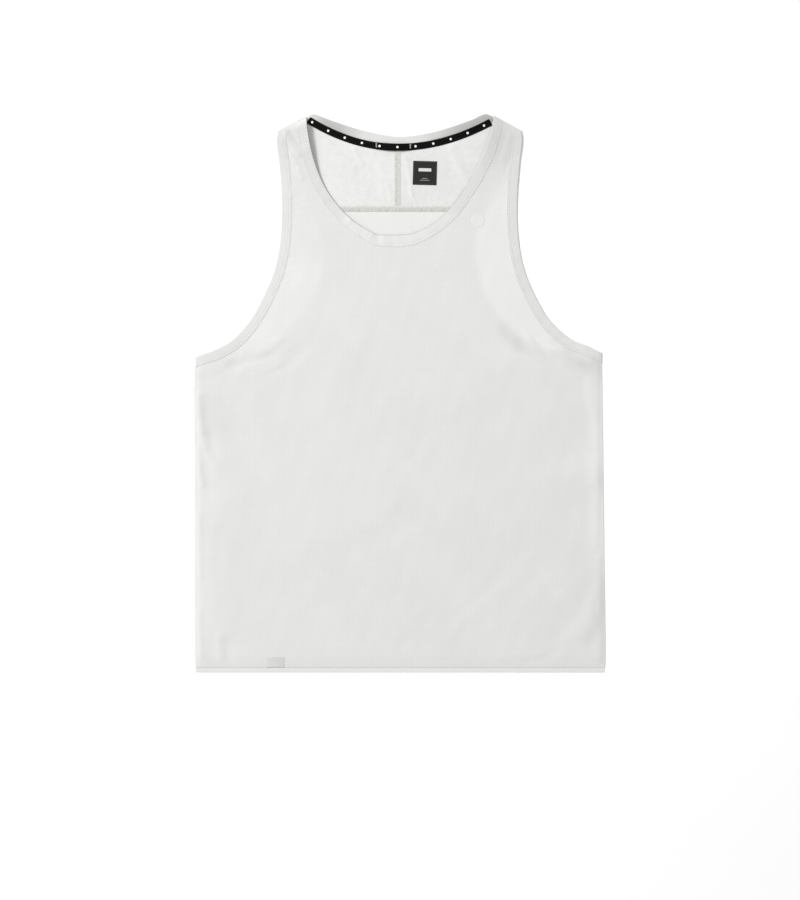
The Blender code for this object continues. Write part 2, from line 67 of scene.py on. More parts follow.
# Free edges below the shoulder tip. Columns: distance from the centre, height.
FRONT_ARMHOLE = (
    (0.1556, 0.6740), (0.1528, 0.6490), (0.1497, 0.6100), (0.1494, 0.5750),
    (0.1520, 0.5400), (0.1590, 0.5080), (0.1720, 0.4770),
)
FRONT_UNDERARM = {
    "right": ((0.1898, 0.4450), (0.2110, 0.4213), (0.2225, 0.4138), (0.2345, 0.4080), (0.2593, 0.3995)),
    "left": ((0.1905, 0.4460), (0.2175, 0.4218), (0.2400, 0.4125), (0.2564, 0.4052)),
}
RACER_EDGE = (
    (0.1470, 0.6540), (0.1300, 0.6170), (0.1110, 0.5850), (0.0985, 0.5560), (0.0962, 0.5340),
    (0.0990, 0.5100), (0.1070, 0.4840), (0.1230, 0.4570), (0.1450, 0.4310), (0.1750, 0.4140),
    (0.2150, 0.4060),
)
# Half the width at the side seams. Columns: height, wearer's right half, wearer's left half.
SIDE_LINE = (
    (0.0000, 0.2580, 0.2590), (0.0120, 0.2590, 0.2604), (0.0400, 0.2593, 0.2606),
    (0.1500, 0.2593, 0.2590), (0.2700, 0.2593, 0.2577), (0.3450, 0.2606, 0.2566),
    (0.4050, 0.2593, 0.2560),
)
BAND_WIDTH = 0.0130
TAPE_WIDTH, TAPE_CENTRE_Y, TAPE_HALF_LENGTH = 0.0090, 0.6652, 0.1155
TAPE_RISE = {"right": 0.0360, "left": 0.0305}
SPOT_PITCH, SPOT_RADIUS, SOFT_RIM = 0.0228, 0.00145, 0.00015
LOOP_FROM_X, LOOP_TO_X, LOOP_BOW = -0.0300, 0.0145, 0.0012
LABEL_SIZE, LABEL_CENTRE, LABEL_TURN = 0.0302, (0.0321, 0.6326), np.radians(-1.5)
BAR_RIM = 0.0002
# Columns: centre, size, and how pale the bar is.
LABEL_BARS = (
    ((0.0, 0.0040), (0.0160, 0.0040), 1.0),
    ((0.0, -0.0070), (0.0070, 0.0009), 0.35),
    ((0.0, -0.0092), (0.0120, 0.0009), 0.35),
)
BADGE_CENTRE, BADGE_RADIUS, BADGE_RIM = (0.0995, 0.5725), 0.0083, 0.96
HEM_TAB_SIZE, HEM_TAB_CENTRE = (0.0222, 0.0127), (-0.1575, 0.0128)
CENTRE_SEAM_WIDTH = 0.0075
YOKE_SEAM_Y, YOKE_STRIP_WIDTH = 0.5878, 0.0085
LABEL_INSET = 0.0016            # from the label's rim to its stitching
TACK_INSET, TACK_PITCH = 0.0008, 0.0005
TACK_FROM, TACK_TO = -0.0020, 0.0036                # across the tape from its middle
# Rows of stitches. Columns: pitch, share of the pitch that a thread takes, radius of the thread.
NECK_STITCH, ARMHOLE_STITCH = (0.0038, 0.96, 0.00018), (0.0036, 0.96, 0.00018)
TAPE_STITCH, LABEL_STITCH = (0.0028, 0.75, 0.00020), (0.0024, 0.7, 0.00020)
SEAM_STITCH = (0.0026, 0.8, 0.00016)
OVERLOCK = (0.0086, 0.0014, 0.22)                   # width, pitch and lean of the threads over a seam
# Gathers beside an edge. Columns: pitch, height, and how far they reach.
NECK_GATHERS, ARMHOLE_GATHERS = (0.0125, 0.00013, 0.009), (0.0110, 0.00016, 0.010)
SIDE_GATHERS = (0.0240, 0.00016, 0.012)

# --- walls and heights ---

CLOTH = 0.00045                 # thickness of the knit
BAND = 0.0009                   # thickness of a folded band
TRIM = 0.0005                   # thickness of tape and label
STRIP, TAB = 0.0004, 0.0003     # thickness of a seam strip and of the tab
CLEAR = 0.00005                 # gap between two pieces that lie on each other
FRONT_LIFT = 0.0001             # how much the front's middle stands over its height
BACK_Z = 0.0001                 # the back's outer face over the floor
SEAM_Z = 0.00065                # the front's underside where it is seamed to the back
BAND_MIDDLE = 0.00038           # middle of a front band above the front's underside
ARM_BAND_DROP = {"right": 0.0009, "left": 0.0006}   # how much lower an armhole band's free edge lies
FOLD_REACH = 0.00155            # how far a band's fold reaches out from its edge to the outline
FOLD_RADIUS = FOLD_REACH - BAND / 2
TUCK = 0.0016                   # how far a panel's edge runs into the band that binds it
LOFT = 0.0007                   # how much the front rises from its seams
SIDE_ROLL, SHOULDER_ROLL, HEM_ROLL = 0.0120, 0.0100, 0.0160
ARMHOLE_SAG, ARMHOLE_SAG_REACH = 0.0004, 0.040
STRAP_LIFT = {"right": 0.0066, "left": 0.0024}      # how much a strap stands up along the neck edge
STRAP_REACH = 0.040
HEM_FOLD = 0.0042               # height of a narrow turned hem
PRESSED, PRESSED_SINK = 0.0045, 0.00016     # width and depth of the edge pressed flat at hem and sides
BOUND_REACH, BOUND_LIFT = 0.005, 0.00008    # how far and how much the front is lifted into its bands
SEWN_IN = 0.0001                # how far a strip is pressed into the cloth under it
EDGE_SINK = 0.75                # a strip's edges are this much thinner than its middle
STITCH_SHARES = (0.95, 0.73)    # where the two rows of stitching lie across a band
NOSE = 0.09                     # share of a band's width that its round free edge takes
NOSE_SHADE = 0.045              # share of the width over which the free edge is shaded
SHARP_ANGLE = np.radians(65)    # a cut edge turns more sharply than this, and a thread's sides do not

# Waves of the resting cloth. Columns: turns along x and along y in radians a metre, and start.
WAVES = ((97, 41, 0.4), (-58, 113, 1.9), (151, -89, 2.7), (203, 167, 5.1), (-263, 71, 3.3))

# Soft folds of the front, in millimetres. Columns: from x, from y, to x, to y, half width, height, bow.
FRONT_CREASES = (
    (112, 680, 98, 630, 30, 1.0, 0), (240, 384, 140, 398, 34, 0.9, 0),
    (-232, 380, -185, 352, 30, 0.3, 0), (150, 36, 206, 106, 46, 0.7, 0),
    (262, 256, 200, 246, 38, 0.8, 0), (-225, 270, -232, 60, 38, 0.8, 0),
    (-80, 340, -52, 414, 36, 0.5, -6), (-150, 128, -40, 226, 60, 0.6, 8),
    # shoulders
    (-146, 681, -128, 656, 6, 0.90, 1), (-139, 686, -122, 664, 5, -0.80, 1),
    (-150, 668, -132, 640, 5, -0.70, 1), (-138, 656, -124, 628, 7, 0.60, 2),
    (139, 680, 130, 652, 7, 0.25, -1), (146, 676, 136, 640, 7, -0.25, -2),
    (128, 690, 118, 650, 8, 0.25, -2),
    # underarm and side on the wearer's right
    (-180, 402, -152, 420, 9, 0.50, 2), (-208, 386, -164, 399, 10, -0.50, -3),
    (-158, 384, -122, 410, 14, -0.50, 4), (-238, 378, -212, 398, 8, 0.35, 2),
    (-257, 350, -246, 284, 9, 0.75, 2), (-246, 330, -232, 276, 8, -0.22, 3),
    (-243, 274, -232, 258, 6, 0.45, 0), (-258, 282, -250, 238, 7, 0.75, 1),
    (-251, 258, -240, 224, 6, -0.30, 2), (-256, 200, -254, 120, 7, 0.60, 1),
    (-229, 180, -226, 108, 9, -0.30, 3), (-256, 76, -252, 22, 7, 0.60, 1),
    (-229, 46, -225, 4, 9, 0.70, 1), (-219, 38, -216, 8, 8, -0.30, 1),
    # underarm and side on the wearer's left
    (152, 420, 168, 402, 6, -0.65, 1), (160, 424, 176, 406, 5, 0.55, -1),
    (170, 424, 182, 410, 5, -0.55, 1), (206, 410, 240, 394, 12, 1.10, 2),
    (204, 398, 246, 380, 11, -0.60, -3), (194, 412, 226, 392, 8, 0.55, 2),
    (240, 374, 249, 320, 9, 0.45, 3), (238, 284, 248, 252, 8, 0.30, 2),
    (254, 214, 251, 150, 6, -0.45, -2), (262, 248, 248, 234, 6, 0.35, 0),
    (254, 106, 212, 34, 20, 0.55, -5), (246, 84, 262, 60, 8, -0.40, 2),
    (232, 30, 256, 14, 10, 0.40, 2),
    # long slant lines low on the wearer's left
    (66, 62, 143, 140, 15, -0.20, 5), (94, 68, 172, 142, 16, 0.14, 6),
    (150, 42, 204, 108, 14, -0.22, -5), (160, 8, 206, 36, 12, -0.34, 3),
    (172, 20, 208, 40, 9, 0.26, 3), (4, 34, 34, 66, 12, -0.20, 2),
    (168, 136, 190, 106, 9, -0.20, 1), (98, 190, 114, 180, 9, -0.22, 0),
    # faint lines of the middle
    (-50, 180, -10, 214, 22, 0.26, 4), (-24, 166, 22, 196, 20, -0.20, 3),
    (6, 262, 38, 304, 12, -0.16, 3), (2, 370, 18, 394, 11, -0.15, 1),
    (-54, 130, 4, 124, 7, -0.12, 1), (-120, 240, -60, 300, 26, 0.20, 6),
    (60, 330, 110, 372, 22, 0.20, 5), (-190, 470, -150, 520, 14, -0.30, 4),
    # where the neckband's ends are joined
    (-34, 560, -27, 545, 8, -0.50, 0), (-22, 556, -18, 546, 6, 0.35, 0), (-58, 576, -33, 561, 10, 2.2, 0),
)
# Patches of painted shade on the front, where folds and the back's bands beneath darken it, the same columns,
# with depth for height.
SHADED_PLACES = (
    (132, 434, 148, 414, 15, 0.24, 0), (152, 414, 180, 398, 12, 0.14, 0),
    (214, 394, 250, 380, 15, 0.22, 0), (197, 417, 214, 408, 13, 0.24, 0),
    (-252, 374, -216, 394, 10, 0.22, 0), (-249, 345, -247, 302, 14, 0.20, 0),
    (-230, 344, -220, 296, 24, 0.14, 0), (-250, 262, -246, 238, 9, 0.14, 0),
    (264, 90, 236, 42, 15, 0.16, -3), (262, 250, 244, 236, 7, 0.22, 0),
)
# Soft creases of the back's outer face, the same columns.
BACK_CREASES = (
    (-210, 372, -150, 392, 12, 0.7, 3), (-232, 330, -205, 270, 12, 0.6, 4),
    (-150, 60, -80, 140, 14, 0.7, 6), (-60, 200, 20, 262, 18, 0.6, 7),
    (90, 330, 150, 372, 14, 0.7, -5), (214, 392, 176, 372, 10, 0.6, 3),
    (236, 210, 216, 120, 12, 0.6, 4), (60, 40, 140, 110, 14, 0.8, -6),
    (-36, 500, 26, 540, 14, 0.4, 5), (-10, 420, 60, 452, 16, 0.5, 6),
    (-120, 300, -60, 330, 14, 0.5, 4), (170, 50, 214, 30, 10, 0.5, 2),
    # beside the centre seam of the yoke
    (-24, 656, -20, 600, 12, 0.3, 1), (7, 654, 16, 604, 4, 0.45, -1),
    (12, 612, 20, 596, 3, 0.40, 1), (-16, 618, -12, 598, 4, 0.35, -1),
    (-58, 664, -48, 644, 5, 0.60, 1), (-34, 658, -26, 640, 5, 0.30, 1),
    (66, 664, 92, 612, 10, 0.6, 2), (-92, 668, -60, 640, 10, 0.5, 2),
)

# --- how finely the surfaces are divided ---

NECK_ROWS, CHEST_ROWS, BODY_ROWS, RACER_ROWS = 130, 50, 156, 130
HALF_COLUMNS, BACK_COLUMNS, YOKE_STEPS = 60, 40, 71
NECK_PART = 0.60                # this share of the armhole lies beside the neckline
CHEST_Y, BACK_CHEST_Y = 0.450, 0.370
NECK_STATIONS, ARMHOLE_STATIONS, RACER_STATIONS, BACK_NECK_STATIONS = 190, 260, 200, 170
FOLD_STATIONS = 9
END_TURN = 0.030                # a band's sections turn to the fold over this length

# --- the studio ---

FLOOR_REACH, SKY_STRENGTH = 6.0, 0.633
LIGHT_PLACE, LIGHT_SIZE, LIGHT_POWER = (-3.9, 2.6, 3.4), 1.6, 298.0
LENS, SENSOR, FRAMED_HEIGHT, CAMERA_OVER = 85.0, 36.0, 1.1412, (0.0006, -0.0719)


# --- curves in the plane ---

def arc_of(line):
    """Length along a line at each of its points: the running sum of its steps."""
    steps = np.linalg.norm(np.diff(line, axis=0), axis=1)
    return np.concatenate([[0.0], np.cumsum(steps)])


def along_arc(line, values, at):
    """The values, given at a line's points, at these lengths along it."""
    return np.stack([np.interp(at, arc_of(line), column) for column in values.T], axis=1)


def spaced(line, fractions):
    """The points at these fractions of the line's length."""
    return along_arc(line, line, np.asarray(fractions) * arc_of(line)[-1])


def unit(vectors):
    return vectors / np.linalg.norm(vectors, axis=-1, keepdims=True)


def left_of(way):
    """Plane directions turned a quarter to the left."""
    return np.stack([-way[..., 1], way[..., 0]], axis=-1)


def ease(t):
    """0 below 0, 1 above 1, and a soft step between: 3t^2 - 2t^3."""
    t = np.clip(t, 0, 1)
    return t * t * (3 - 2 * t)


def bump_at(value, middle, width):
    """A bell curve: 1 at the middle, and exp(-1) at this width from it."""
    return np.exp(-((value - middle) / width) ** 2)


def smooth_curve(knots, samples=24):
    """A curve through the knots. Each stretch is a cubic, whose slope at a knot follows both neighbours."""
    knots = np.array(knots, float)
    gaps = np.sqrt(np.linalg.norm(np.diff(knots, axis=0), axis=1))
    slopes = np.gradient(knots, np.concatenate([[0.0], np.cumsum(gaps)]), axis=0)
    t = np.linspace(0, 1, samples, endpoint=False)[None, :, None]
    run = gaps[:, None, None]
    points = (
        (2 * t**3 - 3 * t**2 + 1) * knots[:-1, None] + (t**3 - 2 * t**2 + t) * run * slopes[:-1, None]
        + (3 * t**2 - 2 * t**3) * knots[1:, None] + (t**3 - t**2) * run * slopes[1:, None]
    )
    return np.concatenate([points.reshape(-1, 2), knots[-1:]])


def across(edge, turn, first, last):
    """Unit directions across a band: square to its edge, and along the fold at each end."""
    square = turn * left_of(unit(np.gradient(edge, axis=0)))
    run = arc_of(edge)
    near_first = ease(1 - run / END_TURN)[:, None]
    near_last = ease(1 - (run[-1] - run) / END_TURN)[:, None]
    middle = (1 - near_first) * (1 - near_last)
    return unit(middle * square + near_first * np.array(first) + near_last * np.array(last))


# --- outlines ---

def shoulder(side):
    """The shoulder line: neck point, tip, direction between them, and direction out of the cloth."""
    neck_point, tip = np.array(SHOULDER[side]).reshape(2, 2) * (SIDES[side], 1)
    along = unit(tip - neck_point)
    return neck_point, tip, along, SIDES[side] * left_of(along)


def side_x(side, y):
    """Distance of the side seam from the centre at a height, straight between its rows."""
    heights, right, left = np.array(SIDE_LINE).T
    return np.interp(y, heights, {"right": right, "left": left}[side])


def front_neck(side):
    """Edge and direction of the neckband's front half: a quarter ellipse whose drop is a power of the sine.

    The edge runs a little lower beside the middle. The direction is longer than 1 where the band is wider.
    """
    sign = SIDES[side]
    neck_point, _, along, outward_way = shoulder(side)
    angle = np.linspace(0, np.pi / 2, 400)
    drop = np.sin(angle) ** FRONT_NECK_POWER
    start = neck_point - FOLD_REACH * outward_way
    x = start[0] * np.cos(angle) + FRONT_NECK_SWING * ease(1.4 * drop)
    lower = 0.0014 * ease((np.abs(x - FRONT_NECK_SWING) - 0.008) / 0.015) * ease((0.085 - np.abs(x)) / 0.030)
    lower = lower + 0.0013 * bump_at(x, -0.028, 0.010)
    curve = np.stack([x, start[1] - (start[1] - FRONT_NECK_Y) * drop - lower], axis=1)
    edge = spaced(curve, np.linspace(0, 1, NECK_STATIONS + 1))
    x, y = edge.T
    wider = 0.21 * bump_at(x, -0.002, 0.030) + 0.05 * ease((np.abs(x) - 0.03) / 0.02) * sign
    return edge, across(edge, sign, along, (0, -1)) * (1 + wider * ease((0.68 - y) / 0.03))[:, None]


def back_neck():
    """Edge and direction of the neckband's back, from the wearer's left shoulder to the right."""
    left_point, _, left_along, left_outward = shoulder("left")
    right_point, _, right_along, right_outward = shoulder("right")
    x = np.linspace(BACK_NECK_PEAK_X, -BACK_NECK_PEAK_X, 15)
    share = np.abs(x) / BACK_NECK_PEAK_X
    power = np.where(x > 0, BACK_NECK_POWER["left"], BACK_NECK_POWER["right"])
    dip = np.stack([
        x + BACK_NECK_SWING * ease(2 - 2 * share), LENGTH - BACK_NECK_RISE * (1 - share**power),
    ], axis=1)
    first = left_point - FOLD_REACH * left_outward
    last = right_point - FOLD_REACH * right_outward
    edge = smooth_curve(np.concatenate([first[None], dip, last[None]]))
    edge = spaced(edge, np.linspace(0, 1, BACK_NECK_STATIONS + 1))
    return edge, across(edge, 1, left_along, right_along)


def armhole_edge(side, knots, stations):
    """Edge and direction of an armhole band, from the shoulder tip through the knots to the side seam."""
    sign = SIDES[side]
    _, tip, along, outward_way = shoulder(side)
    knots = np.array(knots) * (sign, 1)
    knots[-1, 0] -= sign * FOLD_REACH
    curve = smooth_curve(np.concatenate([(tip - FOLD_REACH * outward_way)[None], knots]))
    edge = spaced(curve, np.linspace(0, 1, stations + 1))
    return edge, across(edge, -sign, -along, (0, -1))


def front_armhole(side):
    """The free edge of the armhole in the front."""
    return armhole_edge(side, FRONT_ARMHOLE + FRONT_UNDERARM[side], ARMHOLE_STATIONS)


def racer_edge(side):
    """The free edge of the armhole in the back, cut in towards the shoulder blades."""
    return armhole_edge(side, RACER_EDGE + FRONT_UNDERARM[side][-1:], RACER_STATIONS)


def tape_line(from_x, to_x, steps):
    """The middle of the neck tape: a flat parabola, a little steeper on the wearer's right."""
    x = np.linspace(from_x, to_x, steps + 1)
    rise = np.where(x < BACK_NECK_SWING, TAPE_RISE["right"], TAPE_RISE["left"])
    return np.stack([x, TAPE_CENTRE_Y + rise * ((x - BACK_NECK_SWING) / TAPE_HALF_LENGTH) ** 2], axis=1)


# --- heights ---

def apart(plan):
    """x and y of plane points."""
    return plan[..., 0], plan[..., 1]


def away_from(line, x, y):
    """Distance to the nearest of a line's points."""
    return np.min(np.hypot(x[..., None] - line[:, 0], y[..., None] - line[:, 1]), axis=-1)


def roll(t):
    """A quarter round: 0 at 0, steep there, and level from 1 on."""
    return np.sqrt(1 - (1 - np.clip(t, 0, 1)) ** 2)


def crease(x, y, row):
    """A soft ridge, or a trough where its height is negative.

    Its middle runs from one point to another and bows sideways by a parabola. Its section is a smooth bell,
    steeper on one flank, and it fades out round both ends.
    """
    from_x, from_y, to_x, to_y, half_width, height, bow = np.array(row, float) * MM
    line_x, line_y = to_x - from_x, to_y - from_y
    length = np.hypot(line_x, line_y)
    along = ((x - from_x) * line_x + (y - from_y) * line_y) / length
    share = np.clip(along / length, 0, 1)
    beside = ((x - from_x) * line_y - (y - from_y) * line_x) / length - 4 * bow * share * (1 - share)
    skewed = beside * np.where(beside > 0, 1.25, 0.85)
    beyond = np.maximum(0, np.abs(along - length / 2) - length / 2)
    return height * ease(1 - np.hypot(skewed, beyond) / half_width)


def creases(x, y, rows):
    """The sum of a table's creases."""
    return sum(crease(x, y, row) for row in rows)


def higher(first, second, softness=0.0002):
    """The higher of two heights, rounded where they cross: half of the sum and the softened difference."""
    return (first + second + np.sqrt((first - second) ** 2 + softness**2)) / 2


def front_underside(x, y):
    """Height of the front's underside over the floor.

    Its seams lie a gap above the back. From there it rolls up to its loft, sinks a little beside the
    armholes, and slopes up each strap to the neck edge. Its creases and slow waves, a sum of sines, stand on
    that. It rests on the back where the back is higher.
    """
    shape, sag, lift = np.ones_like(x), np.zeros_like(x), np.zeros_like(x)
    for side, sign in SIDES.items():
        neck_point, _, _, outward_way = shoulder(side)
        to_shoulder = (neck_point[0] - x) * outward_way[0] + (neck_point[1] - y) * outward_way[1]
        shape = shape * roll((side_x(side, y) - sign * x - FOLD_REACH) / SIDE_ROLL)
        shape = np.where(sign * x > 0, shape * roll((to_shoulder - FOLD_REACH) / SHOULDER_ROLL), shape)
        away = away_from(front_armhole(side)[0][::5], x, y)
        open_part = ease((y - 0.425) / 0.05) * ease((0.625 - y) / 0.06)
        sag = sag + ease(1 - away / ARMHOLE_SAG_REACH) * open_part
        strap = ease((y - 0.605) / 0.075) * np.where(sign * x > 0, 1.0, 0.0)
        away = away_from(front_neck(side)[0][::4], x, y)
        lift = lift + STRAP_LIFT[side] * strap * np.clip(1 - away / STRAP_REACH, 0, 1)
    shape = shape * (0.04 + 0.96 * ease((y - FRONT_HEM_Y) / HEM_ROLL))
    waves = 0.035 * MM * sum(np.sin(along_x * x + along_y * y + start) for along_x, along_y, start in WAVES)
    height = SEAM_Z + shape * (LOFT + creases(x, y, FRONT_CREASES) + waves + lift - ARMHOLE_SAG * sag)
    return higher(height, on_back(x, y) + CLEAR)


def back_underside(x, y):
    """Height of the back's outer face over the floor: creases that lift it a little, flat at its sides."""
    to_side = np.minimum(side_x("left", y) - x, side_x("right", y) + x)
    return BACK_Z + ease(to_side / 0.030) * np.maximum(creases(x, y, BACK_CREASES), 0)


def on_back(x, y):
    """Height of what is sewn on the back's inner face."""
    return back_underside(x, y) + CLOTH + CLEAR


def on_front(x, y):
    """Height of what is sewn on the front's outer face."""
    return front_underside(x, y) + FRONT_LIFT + CLOTH + CLEAR


def lifted(line, height, more=0.0):
    """Plane points raised to a height that a function gives, and a little more."""
    return np.column_stack([line, height(*line.T) + more])


def backing(x, y):
    """1 where the back lies under the front and 0 where the front lies alone, soft over a few millimetres.

    The distance to the nearer racer edge, negative outside it, goes through a soft step.
    """
    least = np.full_like(x, 1.0)
    for side, sign in SIDES.items():
        edge = racer_edge(side)[0]
        order = np.argsort(edge[:, 1])
        boundary = np.interp(y, edge[order, 1], sign * edge[order, 0], left=1.0)
        away = away_from(edge[::4], x, y)
        least = np.minimum(least, np.where(sign * x > boundary, -away, away))
    return np.maximum(ease(0.5 + least / 0.016), ease((y - 0.585) / 0.060))


def puckers(arc, away, pitch, height, reach):
    """Small gathers beside a seam: a sine along it whose pace and size wander, fading away from the seam."""
    pace = arc / pitch + 0.4 * np.sin(arc / pitch * 1.3) + 0.3 * np.sin(arc / pitch * 0.37 + 1.0)
    size = 0.55 + 0.45 * np.sin(arc / pitch * 0.71 + 2.0)
    return height * size * np.sin(2 * np.pi * pace) * np.exp(-away / reach)


# --- meshes ---

def grid_corners(rows, columns, wrap_rows, wrap_columns):
    """Row and column of each corner of each quad of a grid, which may join up in either direction."""
    row, column = np.meshgrid(
        np.arange(rows - 1 + wrap_rows), np.arange(columns - 1 + wrap_columns), indexing="ij"
    )
    return row.ravel()[:, None] + np.array([0, 0, 1, 1]), column.ravel()[:, None] + np.array([0, 1, 1, 0])


def outward(points, faces):
    """The faces, all turned over if they enclose a negative volume."""
    a, b, c = points[faces[:, 0]], points[faces[:, 1]], points[faces[:, 2]]
    volume = np.einsum("ij,ij->", a, np.cross(b, c))
    if faces.shape[1] == 4:
        volume += np.einsum("ij,ij->", a, np.cross(c, points[faces[:, 3]]))
    return faces[:, ::-1] if volume < 0 else faces


def tube(sections, closed=False):
    """A closed surface on a row of closed sections, and the face corners' places in the grid.

    Its rows join up, or else its two ends are capped between the first and the second half of their section.
    """
    rows, columns = sections.shape[:2]
    row, column = grid_corners(rows, columns, closed, True)
    faces = (row % rows) * columns + column % columns
    if not closed:
        half = np.arange(columns // 2 - 1)
        cap = np.stack([half, columns - 1 - half, columns - 2 - half, half + 1], axis=1)
        faces = np.concatenate([faces, cap, (rows - 1) * columns + cap[:, ::-1]])
        row = np.concatenate([row, np.zeros_like(cap), np.full_like(cap, rows - 1)])
        column = np.concatenate([column, cap, cap[:, ::-1]])
    points = sections.reshape(-1, 3)
    turned = outward(points, faces)
    if turned is not faces:
        row, column = row[:, ::-1], column[:, ::-1]
    return points, turned, row, column


def wall(plan, underside, thickness):
    """Closed sections of a wall: each row of plane points on the outside, and back again underneath."""
    top, foot = (np.dstack([plan, height]) for height in (underside + thickness, underside))
    return np.concatenate([top, foot[:, ::-1]], axis=1)


def together(parts):
    """Several meshes as one: the points after each other, and the faces counted on."""
    counts = np.cumsum([0] + [len(points) for points, _ in parts])
    points = np.concatenate([points for points, _ in parts])
    return points, np.concatenate([faces + start for (_, faces), start in zip(parts, counts)])


def joined_halves(halves):
    """The two halves of a panel as one mesh: points in one place made one, and the faces between dropped."""
    points, faces = together([tube(sections)[:2] for sections in halves])
    _, first, index = np.unique(np.round(points / 1e-7), axis=0, return_index=True, return_inverse=True)
    faces = index.reshape(-1)[faces]
    _, which, count = np.unique(np.sort(faces, axis=1), axis=0, return_inverse=True, return_counts=True)
    return points[first], faces[count[which.reshape(-1)] == 1]


def placed(name, data, location=(0.0, 0.0, 0.0)):
    """A new object in the scene."""
    made = bpy.data.objects.new(name, data)
    made.location = location
    bpy.context.scene.collection.objects.link(made)
    return made


def add_piece(name, mesh_parts, finish, node=None, painted_shade=None):
    """An object of this mesh that rides on the root body.

    The mesh's parts are its points, its faces and perhaps a place for each face corner, in metres.
    """
    points, faces, *uv = mesh_parts
    mesh = bpy.data.meshes.new(name)
    mesh.from_pydata((points + ORIGIN).tolist(), [], faces.tolist())
    mesh.polygons.foreach_set("use_smooth", np.ones(len(mesh.polygons), bool))
    if uv:
        mesh.uv_layers.new(name="cloth").uv.foreach_set("vector", uv[0].reshape(-1).astype(np.float32))
    # The piece's attribute of painted shade: how much painted shade its finish mixes in.
    if painted_shade is not None:
        attribute = mesh.attributes.new("painted_shade", "FLOAT", "POINT")
        attribute.data.foreach_set("value", painted_shade.reshape(-1).astype(np.float32))
    mesh.materials.append(finish)
    mesh.set_sharp_from_angle(angle=SHARP_ANGLE)
    mesh.update()
    piece = placed(name, mesh)
    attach(piece, "root")
    if node:
        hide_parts(node)
    return piece


def plan_area(plan):
    """Area of a grid in the plane: half the cross product of each quad's diagonals, summed."""
    down, up = plan[1:, 1:] - plan[:-1, :-1], plan[1:, :-1] - plan[:-1, 1:]
    return float(np.abs(down[..., 0] * up[..., 1] - down[..., 1] * up[..., 0]).sum() / 2)


# --- threads ---

def threads(middles, along, up, half_length, radius):
    """Many short threads as one mesh: each a spindle of three rings between two points, bent down at the ends.

    A ring at t from -1 to 1 along the thread has radius r * sqrt(1 - t^2), and sinks by r * t^2.
    """
    along, up = np.broadcast_to(along, middles.shape), np.broadcast_to(up, middles.shape)
    reach = np.broadcast_to(half_length, len(middles))[:, None]
    t = np.array([-1.0, -0.7, 0.0, 0.7, 1.0])
    turn = np.arange(6) * np.pi / 3
    core = (
        middles[:, None] + along[:, None] * (t * reach)[..., None]
        - up[:, None] * (radius * 1.1 * t**2)[None, :, None]
    )
    width = radius * np.sqrt(1 - t**2)
    side = np.cross(up, along)
    ring = side[:, None] * np.cos(turn)[None, :, None] + up[:, None] * np.sin(turn)[None, :, None]
    rings = core[:, 1:4, None] + width[None, 1:4, None, None] * ring[:, None]
    points = np.concatenate([core[:, :1], rings.reshape(len(middles), 18, 3), core[:, 4:]], axis=1)
    here, beyond = np.arange(6), (np.arange(6) + 1) % 6
    spindle = [(0 * here, 1 + beyond, 1 + here), (0 * here + 19, 13 + here, 13 + beyond)]
    for start in (1, 7):
        spindle.append((start + here, start + beyond, start + 6 + beyond))
        spindle.append((start + here, start + 6 + beyond, start + 6 + here))
    pattern = outward(points[0], np.concatenate([np.stack(corners, axis=1) for corners in spindle]))
    faces = pattern[None] + 20 * np.arange(len(middles))[:, None, None]
    return points.reshape(-1, 3), faces.reshape(-1, 3)


def stitch_row(line, up, pitch, share, radius):
    """Stitches end to end along a line: one thread for each pitch, and a gap between two."""
    length = arc_of(line)[-1]
    count = int(length / pitch)
    at = (np.arange(count) + 0.5) * length / count
    start, end = (along_arc(line, line, at + shift * pitch * share / 2) for shift in (-1, 1))
    up = unit(along_arc(line, np.broadcast_to(up, line.shape), at))
    return threads((start + end) / 2, unit(end - start), up, np.linalg.norm(end - start, axis=1) / 2, radius)


# --- finishes ---

def linear(colour):
    """Linear light from a colour written in 0 to 255."""
    part = np.array(colour) / 255
    return (*np.where(part <= 0.04045, part / 12.92, ((part + 0.055) / 1.055) ** 2.4), 1.0)


def grey(level, warmth=2):
    """A grey whose blue is less by its warmth."""
    return linear((level, level, level - warmth))


DUST, SHADOW = linear((120, 122, 118)), linear((96, 98, 94))


class Value:
    """What a node gives out. A sum, difference or product of it is one more node."""

    def __init__(self, finish, socket):
        self.finish, self.socket = finish, socket

    def __add__(self, other):
        return self.finish.math("ADD", self, other)

    def __sub__(self, other):
        return self.finish.math("SUBTRACT", self, other)

    def __mul__(self, other):
        return self.finish.math("MULTIPLY", self, other)


